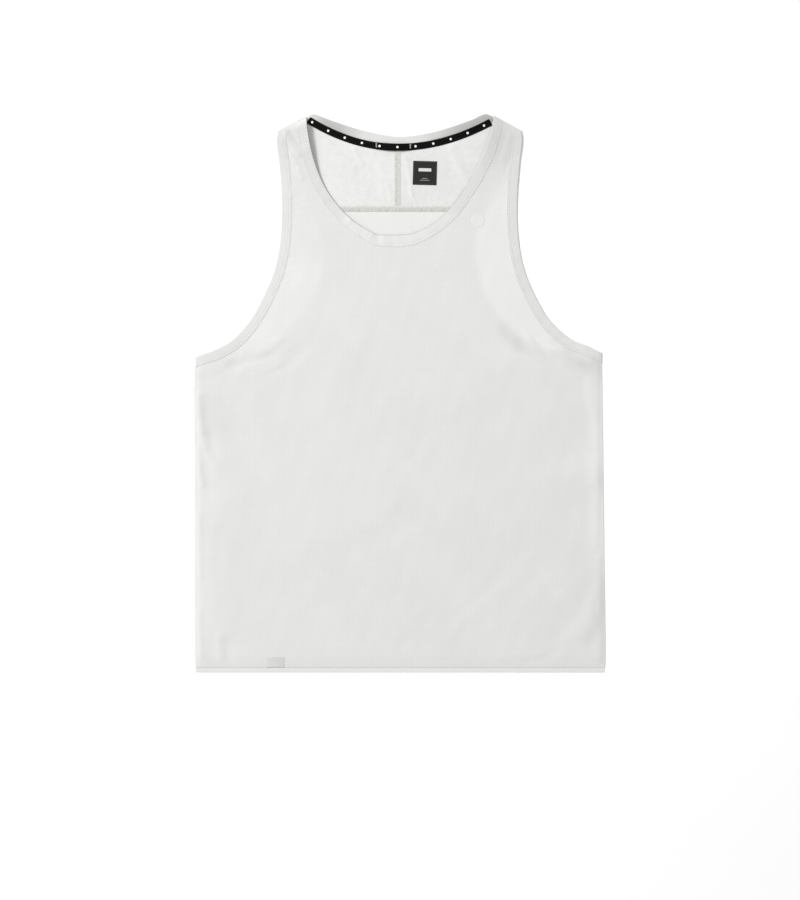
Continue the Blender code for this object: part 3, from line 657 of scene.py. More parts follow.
class Finish:
    """One material, whose nodes are added and linked by short calls."""

    def __init__(self, name, roughness, sheen=0.0, specular=0.3):
        self.material = bpy.data.materials.new(name)
        self.material.use_nodes = True
        self.tree = self.material.node_tree
        self.shader = self.tree.nodes["Principled BSDF"]
        self.put("Roughness", roughness)
        self.put("Specular IOR Level", specular)
        self.put("Sheen Weight", sheen)
        self.put("Sheen Roughness", 0.5)

    def put(self, key, value, node=None):
        """Sets an input of a node, or of the shader, to a number, or links it to a value."""
        socket = (node or self.shader).inputs[key]
        if isinstance(value, Value):
            self.tree.links.new(value.socket, socket)
        else:
            socket.default_value = value

    def node(self, kind, inputs, output=0, **settings):
        """What a new node gives out, with these inputs and settings."""
        made = self.tree.nodes.new("ShaderNode" + kind)
        for name, value in settings.items():
            setattr(made, name, value)
        for key, value in inputs.items():
            self.put(key, value, made)
        return Value(self, made.outputs[output])

    def math(self, operation, *values):
        return self.node("Math", dict(enumerate(values)), operation=operation)

    def step(self, value, low, high):
        """0 at low, 1 at high, and a soft step between."""
        return self.node("MapRange", {0: value, 1: low, 2: high}, interpolation_type="SMOOTHSTEP")

    def mix(self, share, first, second):
        return self.node("Mix", {0: share, 6: first, 7: second}, 2, data_type="RGBA")

    def place(self, space):
        """A point in Object coordinates, or on the piece's own UV map, and its two places along the axes."""
        point = self.node("TexCoord", {}, space)
        return point, *(self.node("SeparateXYZ", {0: point}, axis) for axis in (0, 1))

    def wave(self, value, period):
        """The cosine of a length over its period."""
        return self.math("COSINE", value * (2 * np.pi / period))

    def away(self, u, v):
        """Distance from the centre: the root of the sum of both squares."""
        return self.math("SQRT", u * u + v * v)

    def noise(self, point, scale, detail=2.0):
        return self.node("TexNoise", {"Vector": point, "Scale": scale, "Detail": detail, "Roughness": 0.55})

    def patchy(self, patches, colour, share, other=DUST):
        """The colour, and in soft patches of a noise a mix with a share of another."""
        return self.mix(self.step(patches, 0.3, 0.7), colour, self.mix(share, colour, other))

    def painted_shade_mix(self, bright, shaded):
        """A mix of a bright and a shaded colour by the piece's own attribute of painted shade."""
        return self.mix(self.node("Attribute", {}, "Fac", attribute_name="painted_shade"), bright, shaded)

    def finish(self, colour, height=None, depth=0.0001, strength=1.0):
        self.put("Base Color", colour)
        if height is not None:
            bump = {"Strength": strength, "Distance": depth, "Height": height}
            self.put("Normal", self.node("Bump", bump))
        return self.material


def mesh_knit(name, bright, shaded):
    """Honeycomb mesh: pits on a lattice, the product of two waves, in fine rows. Its attribute of painted shade
    mixes painted shade into its colour, and its pits are painted towards a shadow colour.
    """
    cloth = Finish(name, 0.85, 0.18)
    point, x, y = cloth.place("Object")
    pit = cloth.step(cloth.wave(x, 0.00306) * cloth.wave(y, 0.00285), 0.05, 0.85)
    plain = cloth.patchy(cloth.noise(point, 14.0, 4.0), cloth.painted_shade_mix(bright, shaded), 0.035)
    height = cloth.wave(y, 0.00071) * 0.12 - pit
    return cloth.finish(cloth.mix(pit * 0.12, plain, SHADOW), height, 0.00018, 0.55)


def ribbed_knit(name, colour, lean):
    """Yoke cloth, inner face: two crossing sets of fine slanting ribs, one of them stronger.

    With p and q the lengths square to the two sets, the shade is a sum of cos(p) and a smaller cos(q), and
    it comes and goes over the cloth. lean is +1 or -1 for the way in which the stronger ribs slant.
    """
    cloth = Finish(name, 0.85, 0.18)
    point, x, y = cloth.place("Object")
    wander = cloth.noise(point, 60.0) * 0.0012
    level, rise = x * 0.86, y * (0.51 * lean)
    strong, weak = (cloth.wave(slant + wander, 0.0027) for slant in (level - rise, level + rise))
    ribs = strong * 0.55 + weak * 0.35
    pit = cloth.step(ribs, -0.9, 0.9) * cloth.step(cloth.noise(point, 140.0, 1.0), 0.15, 0.75)
    plain = cloth.patchy(cloth.noise(point, 20.0, 3.0), colour, 0.05)
    return cloth.finish(cloth.mix(pit * 0.12, plain, SHADOW), pit * -1.0, 0.00016, 0.6)


def band_knit(name, bright, shaded):
    """Body cloth cut in a strip: its rows run along it, with short loops across. Its attribute of painted shade
    mixes painted shade into its colour.
    """
    cloth = Finish(name, 0.85, 0.18)
    point, u, v = cloth.place("UV")
    pit = cloth.step(cloth.wave(u, 0.0026) * cloth.wave(v, 0.0030), 0.1, 0.9)
    plain = cloth.patchy(cloth.noise(point, 30.0, 3.0), cloth.painted_shade_mix(bright, shaded), 0.04)
    return cloth.finish(cloth.mix(pit * 0.10, plain, SHADOW), pit * -1.0, 0.00014, 0.5)


def seam_strip(name, colour):
    """A flattened seam under overlock: uneven threads across it, lighter along its upper side.

    The shade is noise along the strip, stretched across it, that fades out towards the side where v is most.
    """
    cloth = Finish(name, 0.8, 0.12)
    _, u, v = cloth.place("UV")
    stretched = cloth.node("CombineXYZ", {"X": u, "Y": v * 0.25})
    strokes = cloth.step(cloth.noise(stretched, 760.0, 3.0), 0.30, 0.70)
    upper = cloth.step(v, -0.001, 0.004)
    depth = strokes * cloth.math("SUBTRACT", 0.34, upper * 0.20)
    shade = cloth.mix(depth, cloth.mix(upper, colour, grey(218, 4)), linear((118, 120, 112)))
    return cloth.finish(shade, strokes * -1.0, 0.00018, 0.6)


def spotted_tape(name):
    """Black ribbed tape with a row of round white spots. u runs along it, and a spot lies where u is 0."""
    cloth = Finish(name, 0.7, 0.0, 0.12)
    point, u, v = cloth.place("UV")
    from_spot = cloth.math("PINGPONG", u + SPOT_PITCH * 20, SPOT_PITCH / 2)
    spot = cloth.step(cloth.away(from_spot, v), SPOT_RADIUS + SOFT_RIM, SPOT_RADIUS - SOFT_RIM)
    weave = cloth.wave(u, 0.0009) * cloth.wave(v, 0.0011)
    black = cloth.mix(cloth.step(weave, -0.5, 1.0), grey(1, 0), grey(5, 0))
    white = cloth.mix(cloth.step(cloth.noise(point, 900.0), 0.3, 0.7), grey(236), grey(250))
    return cloth.finish(cloth.mix(spot, black, white), weave + spot * 1.5, 0.00008, 0.5)


def thread_finish(name, colour, dark):
    """Sewing thread: a tight twist between its colour and a darker one."""
    cloth = Finish(name, 0.55, 0.1)
    twist = cloth.noise(cloth.place("Object")[0], 2600.0, 1.0)
    return cloth.finish(cloth.mix(cloth.step(twist, 0.35, 0.65), colour, dark), twist, 0.00005, 0.4)


def label_weave(name):
    """Black satin label with plain pale bars, soft at their rims. u and v run from its centre."""
    cloth = Finish(name, 0.5)
    _, u, v = cloth.place("UV")
    bars = 0.0
    for centre, size, paleness in LABEL_BARS:
        bar = 1.0
        for value, middle, extent in zip((u, v), centre, size):
            beside = cloth.math("ABSOLUTE", value - middle)
            bar = cloth.step(beside, extent / 2 + BAR_RIM, extent / 2 - BAR_RIM) * bar
        bars = cloth.math("MAXIMUM", bar * paleness, bars)
    satin = cloth.wave(u * 0.5 + v, 0.0007)
    ground = cloth.mix(cloth.step(satin, -0.7, 0.9), linear((27, 26, 25)), linear((37, 36, 35)))
    pale = cloth.mix(cloth.step(cloth.wave(u, 0.0008), -0.6, 0.8), grey(196), grey(226))
    return cloth.finish(cloth.mix(bars, ground, pale), satin * 0.5 + bars, 0.00008, 0.5)


def badge_rubber(name):
    """Soft moulded badge in the cloth's own colour, with rings of painted shade for its round grooves."""
    cloth = Finish(name, 0.42, 0.0, 0.5)
    point, u, v = cloth.place("UV")
    ring = cloth.step(cloth.wave(cloth.away(u, v), BADGE_RADIUS / 3), -0.2, 0.9)
    grain = cloth.noise(point, 700.0)
    shade = cloth.mix(ring * 0.55, grey(219), grey(226))
    return cloth.finish(cloth.patchy(grain, shade, 0.04, linear((110, 112, 108))), grain, 0.00003, 0.3)


def checked_weave(name):
    """Grey woven tab: a small check of two greys with a plain weave over it."""
    cloth = Finish(name, 0.7, 0.08)
    _, u, v = cloth.place("UV")
    check = cloth.step(cloth.wave(u, 0.0036) * cloth.wave(v, 0.0036), -0.4, 0.4)
    weave = cloth.wave(u, 0.0011) * cloth.wave(v, 0.0011)
    colour = cloth.mix(check * cloth.step(u, 0.012, -0.012), grey(205), grey(220))
    fine = cloth.mix(cloth.step(weave, -0.6, 0.6), colour, cloth.mix(0.06, colour, grey(120)))
    return cloth.finish(fine, weave, 0.0001, 0.6)


def floor_finish(name):
    """Plain pale floor with a barely uneven coat."""
    coat = Finish(name, 0.7)
    return coat.finish(coat.mix(coat.noise(coat.place("Object")[0], 3.0), grey(250, 0), grey(252, 0)))


def make_finishes():
    """All the materials, by what they are used on."""
    return {
        "front": mesh_knit("front_mesh_knit", grey(226), grey(198)),
        # The back's first colour, used along its hem, is the darker one: painted shade.
        "back": mesh_knit("back_mesh_knit", grey(221), grey(225)),
        # One cloth in both yoke halves: the wearer's left half is painted a little darker than the right, as
        # painted shade.
        "yoke_right": ribbed_knit("yoke_ribs_right", grey(224), 1),
        "yoke_left": ribbed_knit("yoke_ribs_left", grey(221), -1),
        "neck": band_knit("neck_binding_knit", grey(220), grey(150, 3)),
        "armhole": band_knit("armhole_binding_knit", grey(216), grey(150, 3)),
        "strip": seam_strip("seam_strip_cloth", grey(206, 4)),
        "tape": spotted_tape("spotted_tape_weave"),
        "label": label_weave("label_satin"),
        "badge": badge_rubber("badge_rubber"),
        "tab": checked_weave("tab_check_weave"),
        # White thread painted grey: painted shade of the dimples and needle holes along each row of stitches
        # and tacks.
        "thread": thread_finish("white_thread_painted_shade", grey(172, 3), grey(146, 3)),
        "grey_thread": thread_finish("seam_thread", grey(204, 5), grey(188, 5)),
        "label_thread": thread_finish("label_thread", linear((92, 91, 90)), linear((60, 59, 58))),
        "black_thread": thread_finish("black_thread", grey(12, 0), grey(6, 0)),
    }


# --- panels ---

def panel_edge(edge, direction):
    """Where a panel ends inside the band that binds it."""
    return edge + (BAND_WIDTH - TUCK) * direction


def from_shoulder(line, side):
    """The line with one more point before it, on the shoulder line."""
    return np.concatenate([line[:1] + FOLD_REACH * shoulder(side)[3], line])


def to_side(line, side):
    """The line with one more point after it, on the side seam and a little lower, so that no row crosses it."""
    y = line[-1, 1] - FOLD_REACH / 2
    return np.concatenate([line, [[SIDES[side] * side_x(side, y), y]]])


def with_side_seam(line, side, bottom_y):
    """The line and the side seam below it."""
    y = np.linspace(line[-1, 1], bottom_y, BODY_ROWS + 1)[1:]
    return np.concatenate([line, np.stack([SIDES[side] * side_x(side, y), y], axis=1)])


def falling(top_y, chest_y, rows, hem_y):
    """Heights of a panel's rows down its centre, in even steps to the chest and from there to the hem."""
    return np.append(np.linspace(top_y, chest_y, rows + 1), np.linspace(chest_y, hem_y, BODY_ROWS + 1)[1:])


def column_shares(count, edge_share=0.42):
    """Shares from 0 to 1 that lie closer together at both ends: a straight line blended with a soft step."""
    u = np.linspace(0, 1, count + 1)
    return edge_share * u + (1 - edge_share) * ease(u)


def ruled(inner, outer, shares):
    """A grid of straight rows between two lines with equally many points."""
    shares = shares[None, :, None]
    return inner[:, None] * (1 - shares) + outer[:, None] * shares


def hem_thickness(y, hem_y):
    """The knit's thickness, growing softly by two fifths where its hem is turned."""
    return CLOTH * (1 + 0.4 * ease((hem_y + HEM_FOLD - y) / 0.0036))


def unpressed(x, y):
    """0 along the front's hem and its side seams, where it is pressed flat, and 1 off them."""
    side = np.minimum(side_x("left", y) - x, side_x("right", y) + x) - FOLD_REACH
    return np.maximum(ease(side / PRESSED), ease((y - 0.40) / 0.01)) * ease((y - FRONT_HEM_Y) / PRESSED)


def front_half(side):
    """Half of the front: its plan, the height of its underside and its thickness.

    Straight rows run from the neckline and the centre out to the armhole and the side. The underside is the
    front's height, lifted into the bands at its bound edges, with gathers beside them.
    """
    neck = from_shoulder(panel_edge(*front_neck(side)), side)
    armhole = to_side(from_shoulder(panel_edge(*front_armhole(side)), side), side)
    neck = spaced(neck, np.linspace(0, 1, NECK_ROWS + 1))
    armhole = spaced(armhole, np.concatenate([
        np.linspace(0, NECK_PART, NECK_ROWS, endpoint=False), np.linspace(NECK_PART, 1, CHEST_ROWS + 1),
    ]))
    low_neck, low_y = neck[-1], neck[-1, 1]
    centre_y = falling(low_y, CHEST_Y, CHEST_ROWS, FRONT_HEM_Y)[1:]
    centre_x = FRONT_NECK_SWING * (centre_y - FRONT_HEM_Y) / (low_y - FRONT_HEM_Y)
    inner = np.concatenate([neck, np.stack([centre_x, centre_y], axis=1)])
    outer = with_side_seam(armhole, side, FRONT_HEM_Y)
    shares = column_shares(HALF_COLUMNS)
    plan = ruled(inner, outer, shares)
    x, y = apart(plan)
    span = np.linalg.norm(outer - inner, axis=1)[:, None]
    from_inner, from_outer = shares[None] * span, (1 - shares)[None] * span
    inner_arc, outer_arc = arc_of(inner)[:, None], arc_of(outer)[:, None]
    neck_length, armhole_length = arc_of(neck)[-1], arc_of(armhole)[-1]
    by_neck = ease((neck_length - inner_arc) / 0.012)
    by_armhole = ease((armhole_length - outer_arc) / 0.010)
    to_neck = np.hypot(x - low_neck[0], y - low_neck[1])
    bound = np.maximum(
        ease(1 - np.where(inner_arc <= neck_length + 1e-6, from_inner, to_neck) / BOUND_REACH),
        ease(1 - from_outer / BOUND_REACH) * by_armhole,
    )
    gathers = (
        by_neck * puckers(inner_arc, from_inner, *NECK_GATHERS)
        + by_armhole * puckers(outer_arc, from_outer, *ARMHOLE_GATHERS)
        + (1 - by_armhole) * puckers(outer_arc, from_outer, *SIDE_GATHERS) * ease(from_outer / 0.004)
    )
    loose = unpressed(x, y)
    height = front_underside(x, y) + BOUND_LIFT * bound + gathers * (1 - bound)
    height = height + FRONT_LIFT - PRESSED_SINK * (1 - loose)
    return plan, height, hem_thickness(y, FRONT_HEM_Y) * (0.35 + 0.65 * loose)


def racer_seam(side):
    """The back panels' outline along the armhole band, from the shoulder to the side seam."""
    return to_side(from_shoulder(panel_edge(*racer_edge(side)), side), side)


def crossing(line, y):
    """Splits a falling line at a height: the part above and the part below, both with the crossing point."""
    point = np.array([[np.interp(-y, -line[:, 1], line[:, 0]), y]])
    return np.concatenate([line[line[:, 1] > y], point]), np.concatenate([point, line[line[:, 1] < y]])


def yoke_half(side):
    """Half of the back yoke, blended between the neck, the centre, the racer edge and the yoke seam.

    It is the sum of the two grids of straight lines between facing sides, less the grid between the corners.
    """
    seam = panel_edge(*back_neck())
    middle = BACK_NECK_STATIONS // 2
    neck = seam[middle:] if side == "right" else seam[middle::-1]
    neck = from_shoulder(neck[::-1], side)[::-1]
    neck[0, 0] = BACK_NECK_SWING
    outer, _ = crossing(racer_seam(side), YOKE_SEAM_Y)
    shares = np.linspace(0, 1, YOKE_STEPS)
    top = spaced(np.concatenate([neck, outer[:1]]), shares)
    outer = spaced(outer, shares)
    bottom = np.linspace((neck[0, 0], outer[-1, 1]), outer[-1], YOKE_STEPS)
    centre = np.linspace(top[0], bottom[0], YOKE_STEPS)
    u, v = shares[None, :, None], shares[:, None, None]
    corners = (
        (1 - u) * (1 - v) * top[0] + u * (1 - v) * top[-1] + (1 - u) * v * bottom[0] + u * v * bottom[-1]
    )
    return (1 - v) * top[None] + v * bottom[None] + (1 - u) * centre[:, None] + u * outer[:, None] - corners


def lower_back_half(side):
    """Half of the lower back: straight rows from the centre out to the racer edge and the side."""
    racer = spaced(crossing(racer_seam(side), YOKE_SEAM_Y)[1], np.linspace(0, 1, RACER_ROWS + 1))
    y = falling(YOKE_SEAM_Y, BACK_CHEST_Y, RACER_ROWS, 0.0)
    centre = np.stack([np.zeros_like(y), y], axis=1)
    plan = ruled(centre, with_side_seam(racer, side, 0.0), column_shares(BACK_COLUMNS))
    return plan, back_underside(*apart(plan)), hem_thickness(plan[..., 1], 0.0)


def front_painted_shade(x, y):
    """How deep the front's painted shade is: over the back, alone on the wearer's right, up the straps and in
    the shaded places, and less where a painted highlight lies on the wearer's left.
    """
    # Painted shade: the front is darker where the back lies under it than where it lies alone.
    doubled = backing(x, y)
    alone = (1 - doubled) * np.where(x < 0, 0.08 + 0.12 * ease((y - 0.50) / 0.05), 0.0)
    up_strap = np.where(x < 0, 0.33 + 0.22 * ease((y - 0.668) / 0.016), 0.28) * ease((y - 0.625) / 0.050)
    # Painted highlight low on the wearer's left, on the side that faces the light.
    lit_side = 0.26 * ease((x - 0.232) / 0.016) * ease((y - 0.10) / 0.08) * ease((0.40 - y) / 0.04)
    # Patches of painted shade where folds and the back's bands beneath darken the front.
    patch_shade = creases(x, y, SHADED_PLACES) / MM
    return np.clip(0.26 * doubled + alone + up_strap - lit_side + patch_shade, 0, 1)


def panel(half):
    """A panel's mesh from both its halves, and its area in the plane."""
    halves = [half(side) for side in SIDES]
    return joined_halves([wall(*parts) for parts in halves]), sum(plan_area(plan) for plan, _, _ in halves)


def make_panels(finishes):
    """The front, the lower back and both halves of the yoke, each with its area, and a yoke half's size."""
    mesh, front_area = panel(front_half)
    painted_shade = front_painted_shade(*mesh[0].T[:2])
    front = add_piece("front_panel_cloth", mesh, finishes["front"], "front_panel", painted_shade)
    mesh, lower_area = panel(lower_back_half)
    # Painted shade: the lower back is a little darker along its hem.
    painted_shade = ease((mesh[0][:, 1] - 0.008) / 0.004)
    lower = add_piece("lower_back_cloth", mesh, finishes["back"], "back_lower", painted_shade)
    yokes = []
    for side in SIDES:
        plan = yoke_half(side)
        mesh = tube(wall(plan, back_underside(*apart(plan)), CLOTH))[:2]
        finish = finishes["yoke_" + side]
        piece = add_piece("yoke_cloth_" + side, mesh, finish, "back_yoke_" + side)
        yokes.append((piece, plan_area(plan), np.ptp(plan[..., 0]), np.ptp(plan[..., 1])))
    return (front, front_area), (lower, lower_area), yokes


# --- bands: each has stations, which are its free edge, its seam and the normal of its middle ---

def band_section():
    """A band's section from its seam over the top to its round free edge, and back underneath.

    Columns: share of the width from the free edge, and height as a share of the thickness. The top dips at
    the two rows of stitching by the seam, and is a little fuller between them and the edge.
    """
    share = np.concatenate([
        (1.0, 0.985, 0.95, 0.91, 0.87, 0.83, 0.79, 0.74, 0.66), np.linspace(0.56, 0.16, 6),
        NOSE * (1 - np.sin(np.linspace(0, np.pi / 2, 6))),
    ])
    half = 0.5 * roll(share / NOSE)
    groove = 0.16 * sum(bump_at(share, row, 0.022) for row in STITCH_SHARES)
    top = half - groove - 0.14 * ease((share - 0.90) / 0.10)
    under = -half * (1 - 0.1 * ease((share - 0.9) / 0.1))
    return np.stack([np.append(share, share[-2::-1]), np.append(top, under[-2::-1])], axis=1)


def front_run(edge, direction, drop=0.0):
    """Stations on the front. The free edge drops where no back lies under it, softly from both ends."""
    edges = lifted(edge, front_underside, BAND_MIDDLE)
    seams = lifted(edge + BAND_WIDTH * direction, front_underside, BAND_MIDDLE)
    run = arc_of(edge)
    open_part = ease((run - 0.012) / 0.050) * ease((run[-1] - run - 0.020) / 0.060)
    edges[:, 2] = np.maximum(edges[:, 2] - drop * open_part, BAND / 2)
    return edges, seams, np.broadcast_to(UP, edges.shape)


def back_run(edge, direction, rise=0.0):
    """Stations on the back, which shows its inner face. rise lifts the free edge off the floor."""
    edges = np.column_stack([edge, np.full(len(edge), BAND / 2 + BACK_Z) + rise])
    seams = lifted(edge + BAND_WIDTH * direction, back_underside, BAND / 2)
    return edges, seams, -np.broadcast_to(UP, edges.shape)


def fold_run(front, front_end, back, back_end, outward_way, way):
    """Stations of the half turn between an end of the front and one of the back, down (1) or up (-1).

    The angle runs over half a turn, and each section's middle lies on an upright half ellipse that joins
    the band's middle on the front to that on the back.
    """
    turn = way * np.linspace(np.pi / 2, -np.pi / 2, FOLD_STATIONS + 2)[1:-1]
    reach_out = np.outer(np.cos(turn), outward_way)
    lines = []
    for front_line, back_line in zip(front[:2], back[:2]):
        top, foot = front_line[front_end, 2], back_line[back_end, 2]
        height = (top + foot) / 2 + (top - foot) / 2 * np.sin(turn)
        lines.append(np.column_stack([back_line[back_end, :2] + FOLD_RADIUS * reach_out, height]))
    return *lines, np.column_stack([reach_out, np.sin(turn)])


def reversed_run(run):
    """The stations in the other order."""
    return tuple(rows[::-1] for rows in run)


def ring(runs):
    """Stations all round a band from those of its parts."""
    return [np.concatenate(rows) for rows in zip(*runs)]


def band_line(stations, share, rise):
    """A line along a band at one place of its section."""
    edges, seams, normals = stations
    return edges + share * (seams - edges) + rise * BAND * normals


def middle_arc(stations):
    """Length along the middle of a band."""
    return arc_of((stations[0] + stations[1]) / 2)


def band_mesh(stations, ripple=0.00006):
    """The band's section carried round its stations, as a closed surface with its places along and across.

    Two sine waves along the band ripple its faces.
    """
    edges, seams, normals = stations
    section = band_section()
    arc = middle_arc(stations)[:, None]
    wobble = ripple * (np.sin(arc / 0.0031) + 0.7 * np.sin(arc / 0.0071 + 1.0)) * np.sign(section[:, 1])
    share, rise = section[None, :, 0, None], section[None, :, 1, None]
    sections = edges[:, None] + share * (seams - edges)[:, None]
    sections = sections + (rise * BAND + wobble[..., None]) * normals[:, None]
    points, faces, row, column = tube(sections, closed=True)
    loop = np.append(arc[:, 0], arc[-1, 0] + np.linalg.norm(edges[-1] - edges[0]))
    round_section = arc_of(np.concatenate([section, section[:1]]) * (BAND_WIDTH, BAND))
    return points, faces, np.stack([loop[row], round_section[column]], axis=-1)


def back_neck_rise(x):
    """How much the free edge of the back neck stands up off the floor: most on both sides of the middle."""
    most = np.where(x < 0, 0.0034, 0.0040)
    return most * ease((np.abs(x) - 0.040) / 0.050) * ease((0.1195 - np.abs(x)) / 0.012)


def neck_stations():
    """All round the neck: left front, left fold, back, right fold, right front, and where the back starts."""
    left = reversed_run(front_run(*front_neck("left")))
    right = front_run(*[rows[:-1] for rows in front_neck("right")])
    edge, direction = back_neck()
    back = back_run(edge, direction, back_neck_rise(edge[:, 0]))
    left_fold = fold_run(left, -1, back, 0, shoulder("left")[3], 1)
    right_fold = fold_run(right, 0, back, -1, shoulder("right")[3], -1)
    return ring([left, left_fold, back, right_fold, right]), len(left[0]) + FOLD_STATIONS


def armhole_stations(side):
    """All round one armhole: front, fold at the side seam, racer edge, fold at the shoulder."""
    front = front_run(*front_armhole(side), ARM_BAND_DROP[side])
    racer = back_run(*racer_edge(side))
    foot = fold_run(front, -1, racer, -1, (SIDES[side], 0.0), 1)
    top = fold_run(front, 0, racer, 0, shoulder(side)[3], -1)
    return ring([front, foot, reversed_run(racer), top])


def neck_painted_shade(stations, back_start):
    """How deep each point of the neckband's painted shade is.

    On the front the painted shade deepens up the straps, and at the free edge as a painted shadow under it. On
    the back it deepens towards both ends, more at the seam than at the free edge.
    """
    x, y, _ = stations[0].T
    place = np.arange(len(x))
    on_the_back = (place >= back_start) & (place <= back_start + BACK_NECK_STATIONS)
    share = band_section()[None, :, 0]
    front = 0.12 * ease((y - 0.57) / 0.03) + 0.11 * ease((y - 0.63) / 0.05)
    front = front + np.where(x < 0, 0.03 * ease((y - 0.674) / 0.012), 0.04 * ease((y - 0.655) / 0.03))
    front = front[:, None] + 0.75 * bump_at(share, 0, NOSE_SHADE) * ease((0.655 - y) / 0.05)[:, None]
    left = 0.42 * ease((x - 0.010) / 0.060)
    right = 0.50 * ease((-x - 0.040) / 0.045) * (1 - 0.9 * ease((-x - 0.094) / 0.014))
    back = 0.10 + (left + right)[:, None] * (0.70 + 0.60 * share)
    return np.where(on_the_back[:, None], back, front)


def armhole_painted_shade(stations):
    """How deep each point of an armhole band's painted shade is: more up the shoulder and at the free edge."""
    x, y = stations[0][:, 0, None], stations[0][:, 1, None]
    nose = bump_at(band_section()[None, :, 0], 0, NOSE_SHADE)
    right = 0.2 * nose + 0.04 + 0.13 * ease((y - 0.63) / 0.04) + 0.10 * ease((y - 0.66) / 0.02)
    return np.where(x < 0, right, 0.08 * ease((y - 0.62) / 0.05) + 0.05 * nose)


def make_bands(finishes):
    """The three bands, each with its stations and its length."""
    neck, back_start = neck_stations()
    bands = {"neck_binding": ("neck_band", neck, neck_painted_shade(neck, back_start))}
    for side in SIDES:
        stations = armhole_stations(side)
        bands["armhole_binding_" + side] = ("armhole_band_" + side, stations, armhole_painted_shade(stations))
    made = {}
    for name, (node, stations, painted_shade) in bands.items():
        finish = finishes[name.split("_")[0]]
        piece = add_piece(name, band_mesh(stations), finish, node, painted_shade)
        made[name] = (piece, stations, middle_arc(stations)[-1])
    return made


def make_band_stitches(bands, finishes):
    """Two rows of stitches round each band on both faces, the neck's inner one sunk to the wearer's right."""
    pieces = {}
    for name, (_, stations, _) in bands.items():
        closed = [np.concatenate([rows, rows[:1]]) for rows in stations]
        stitch, sunk = ARMHOLE_STITCH, 0.0
        if name == "neck_binding":
            stitch, sunk = NECK_STITCH, 0.13 * ease((-closed[0][:, :1] - 0.020) / 0.020)
        rows = []
        for share, depth in zip(STITCH_SHARES, (0.0, sunk)):
            for rise, up in ((0.30 - depth, closed[2]), (-0.5, -closed[2])):
                rows.append(stitch_row(band_line(closed, share, rise), up, *stitch))
        stitches = name.replace("binding", "stitches")
        pieces[name] = add_piece(stitches, together(rows), finishes["thread"])
    return pieces


# --- strips, tape and patches ---

def strip_plan(middle, width, steps=6):
    """A grid along a line: each row is square to it, from one side to the other."""
    place = width * np.linspace(0.5, -0.5, steps + 1)
    square = left_of(unit(np.gradient(middle, axis=0)))
    return middle[:, None] + place[None, :, None] * square[:, None]


def strip_mesh(middle, width, height, thickness=TRIM):
    """A strip sewn on flat: a wall along its middle line, thinner towards its edges by a fourth power.

    Its places are the arc of its middle, from the centre of that, and the distance across.
    """
    plan = strip_plan(middle, width)
    share = np.linspace(0.5, -0.5, plan.shape[1])
    crown = thickness * (1 - EDGE_SINK * np.abs(2 * share) ** 4)
    sections = wall(plan, height(*apart(plan)) - SEWN_IN, crown + SEWN_IN)
    points, faces, row, column = tube(sections)
    arc = arc_of((sections[:, 0] + sections[:, len(share) - 1]) / 2)
    across_place = width * np.concatenate([share, share[::-1], share[:1]])
    return points, faces, np.stack([(arc - arc[-1] / 2)[row], across_place[column]], axis=-1)


def overlock(line, width, pitch, lean):
    """Threads laid over a straight seam from side to side, on a small slant that changes by turns."""
    at = np.arange(pitch / 2, arc_of(line)[-1], pitch)
    count = np.arange(len(at))
    tangent = unit(line[-1] - line[0])
    way = unit(left_of(tangent) + lean * np.where(count % 2, 1, -1)[:, None] * tangent)
    reach = width / 2 * (1 + 0.16 * np.sin(count * 1.7) + 0.14 * np.sin(count * 0.9))
    middles = lifted(along_arc(line, line, at), on_back, 0.00026)
    return threads(middles, np.column_stack([way, 0 * count]), UP, reach, 0.00017)


def beside_seam(line, offset):
    """A row of stitches along a straight seam at a distance to the left of its middle."""
    moved = line + offset * left_of(unit(line[-1] - line[0]))
    return stitch_row(lifted(moved, on_back, 0.0003), UP, *SEAM_STITCH)


def make_seam_strips(finishes):
    """The flattened centre back seam and the overlocked yoke seam, with their threads."""
    top = TAPE_CENTRE_Y - TAPE_WIDTH / 2 + 0.001
    foot = YOKE_SEAM_Y + YOKE_STRIP_WIDTH / 2 - 0.0005
    centre = np.linspace((BACK_NECK_SWING, top), (BACK_NECK_SWING, foot), 60)
    low = YOKE_SEAM_Y - YOKE_STRIP_WIDTH / 2
    right, left = (abs(crossing(racer_seam(side), low)[0][-1, 0]) - 0.0005 for side in SIDES)
    yoke = np.linspace((-right, YOKE_SEAM_Y), (left, YOKE_SEAM_Y), 120)
    for node, line, width in (
        ("centre_back_seam", centre, CENTRE_SEAM_WIDTH), ("yoke_seam", yoke, YOKE_STRIP_WIDTH),
    ):
        mesh = strip_mesh(line, width, on_back, STRIP)
        add_piece(node + "_strip", mesh, finishes["strip"], node)
    sewn = together([
        overlock(yoke, *OVERLOCK), beside_seam(yoke, 0.0014),
        beside_seam(centre, 0.0030), beside_seam(centre, -0.0030),
    ])
    add_piece("seam_overlock_threads", sewn, finishes["grey_thread"])


def on_neck(x, y):
    """Height of the neck tape: it lies on the back, and on the neckband where it laps over it."""
    away = away_from(back_neck()[0][::2], x, y)
    band_top = BAND + 0.0001 + back_neck_rise(x) * np.clip(1 - away / BAND_WIDTH, 0, 1)
    return higher(on_back(x, y) + 0.0002, band_top * ease((0.0155 - away) / 0.0025))


def on_tape(x, y):
    """Height of the hanging loop: it lies on the tape, and bows up between its ends by half a sine wave."""
    share = np.clip((x - LOOP_FROM_X) / (LOOP_TO_X - LOOP_FROM_X), 0, 1)
    return on_neck(x, y) + TRIM + 0.0001 + LOOP_BOW * np.sin(np.pi * share)


def tape_mesh(line, height, to_spot):
    """A length of tape with a spot at this length from its start."""
    points, faces, uv = strip_mesh(line, TAPE_WIDTH, height)
    return points, faces, uv + (arc_of(line)[-1] / 2 - to_spot, 0)


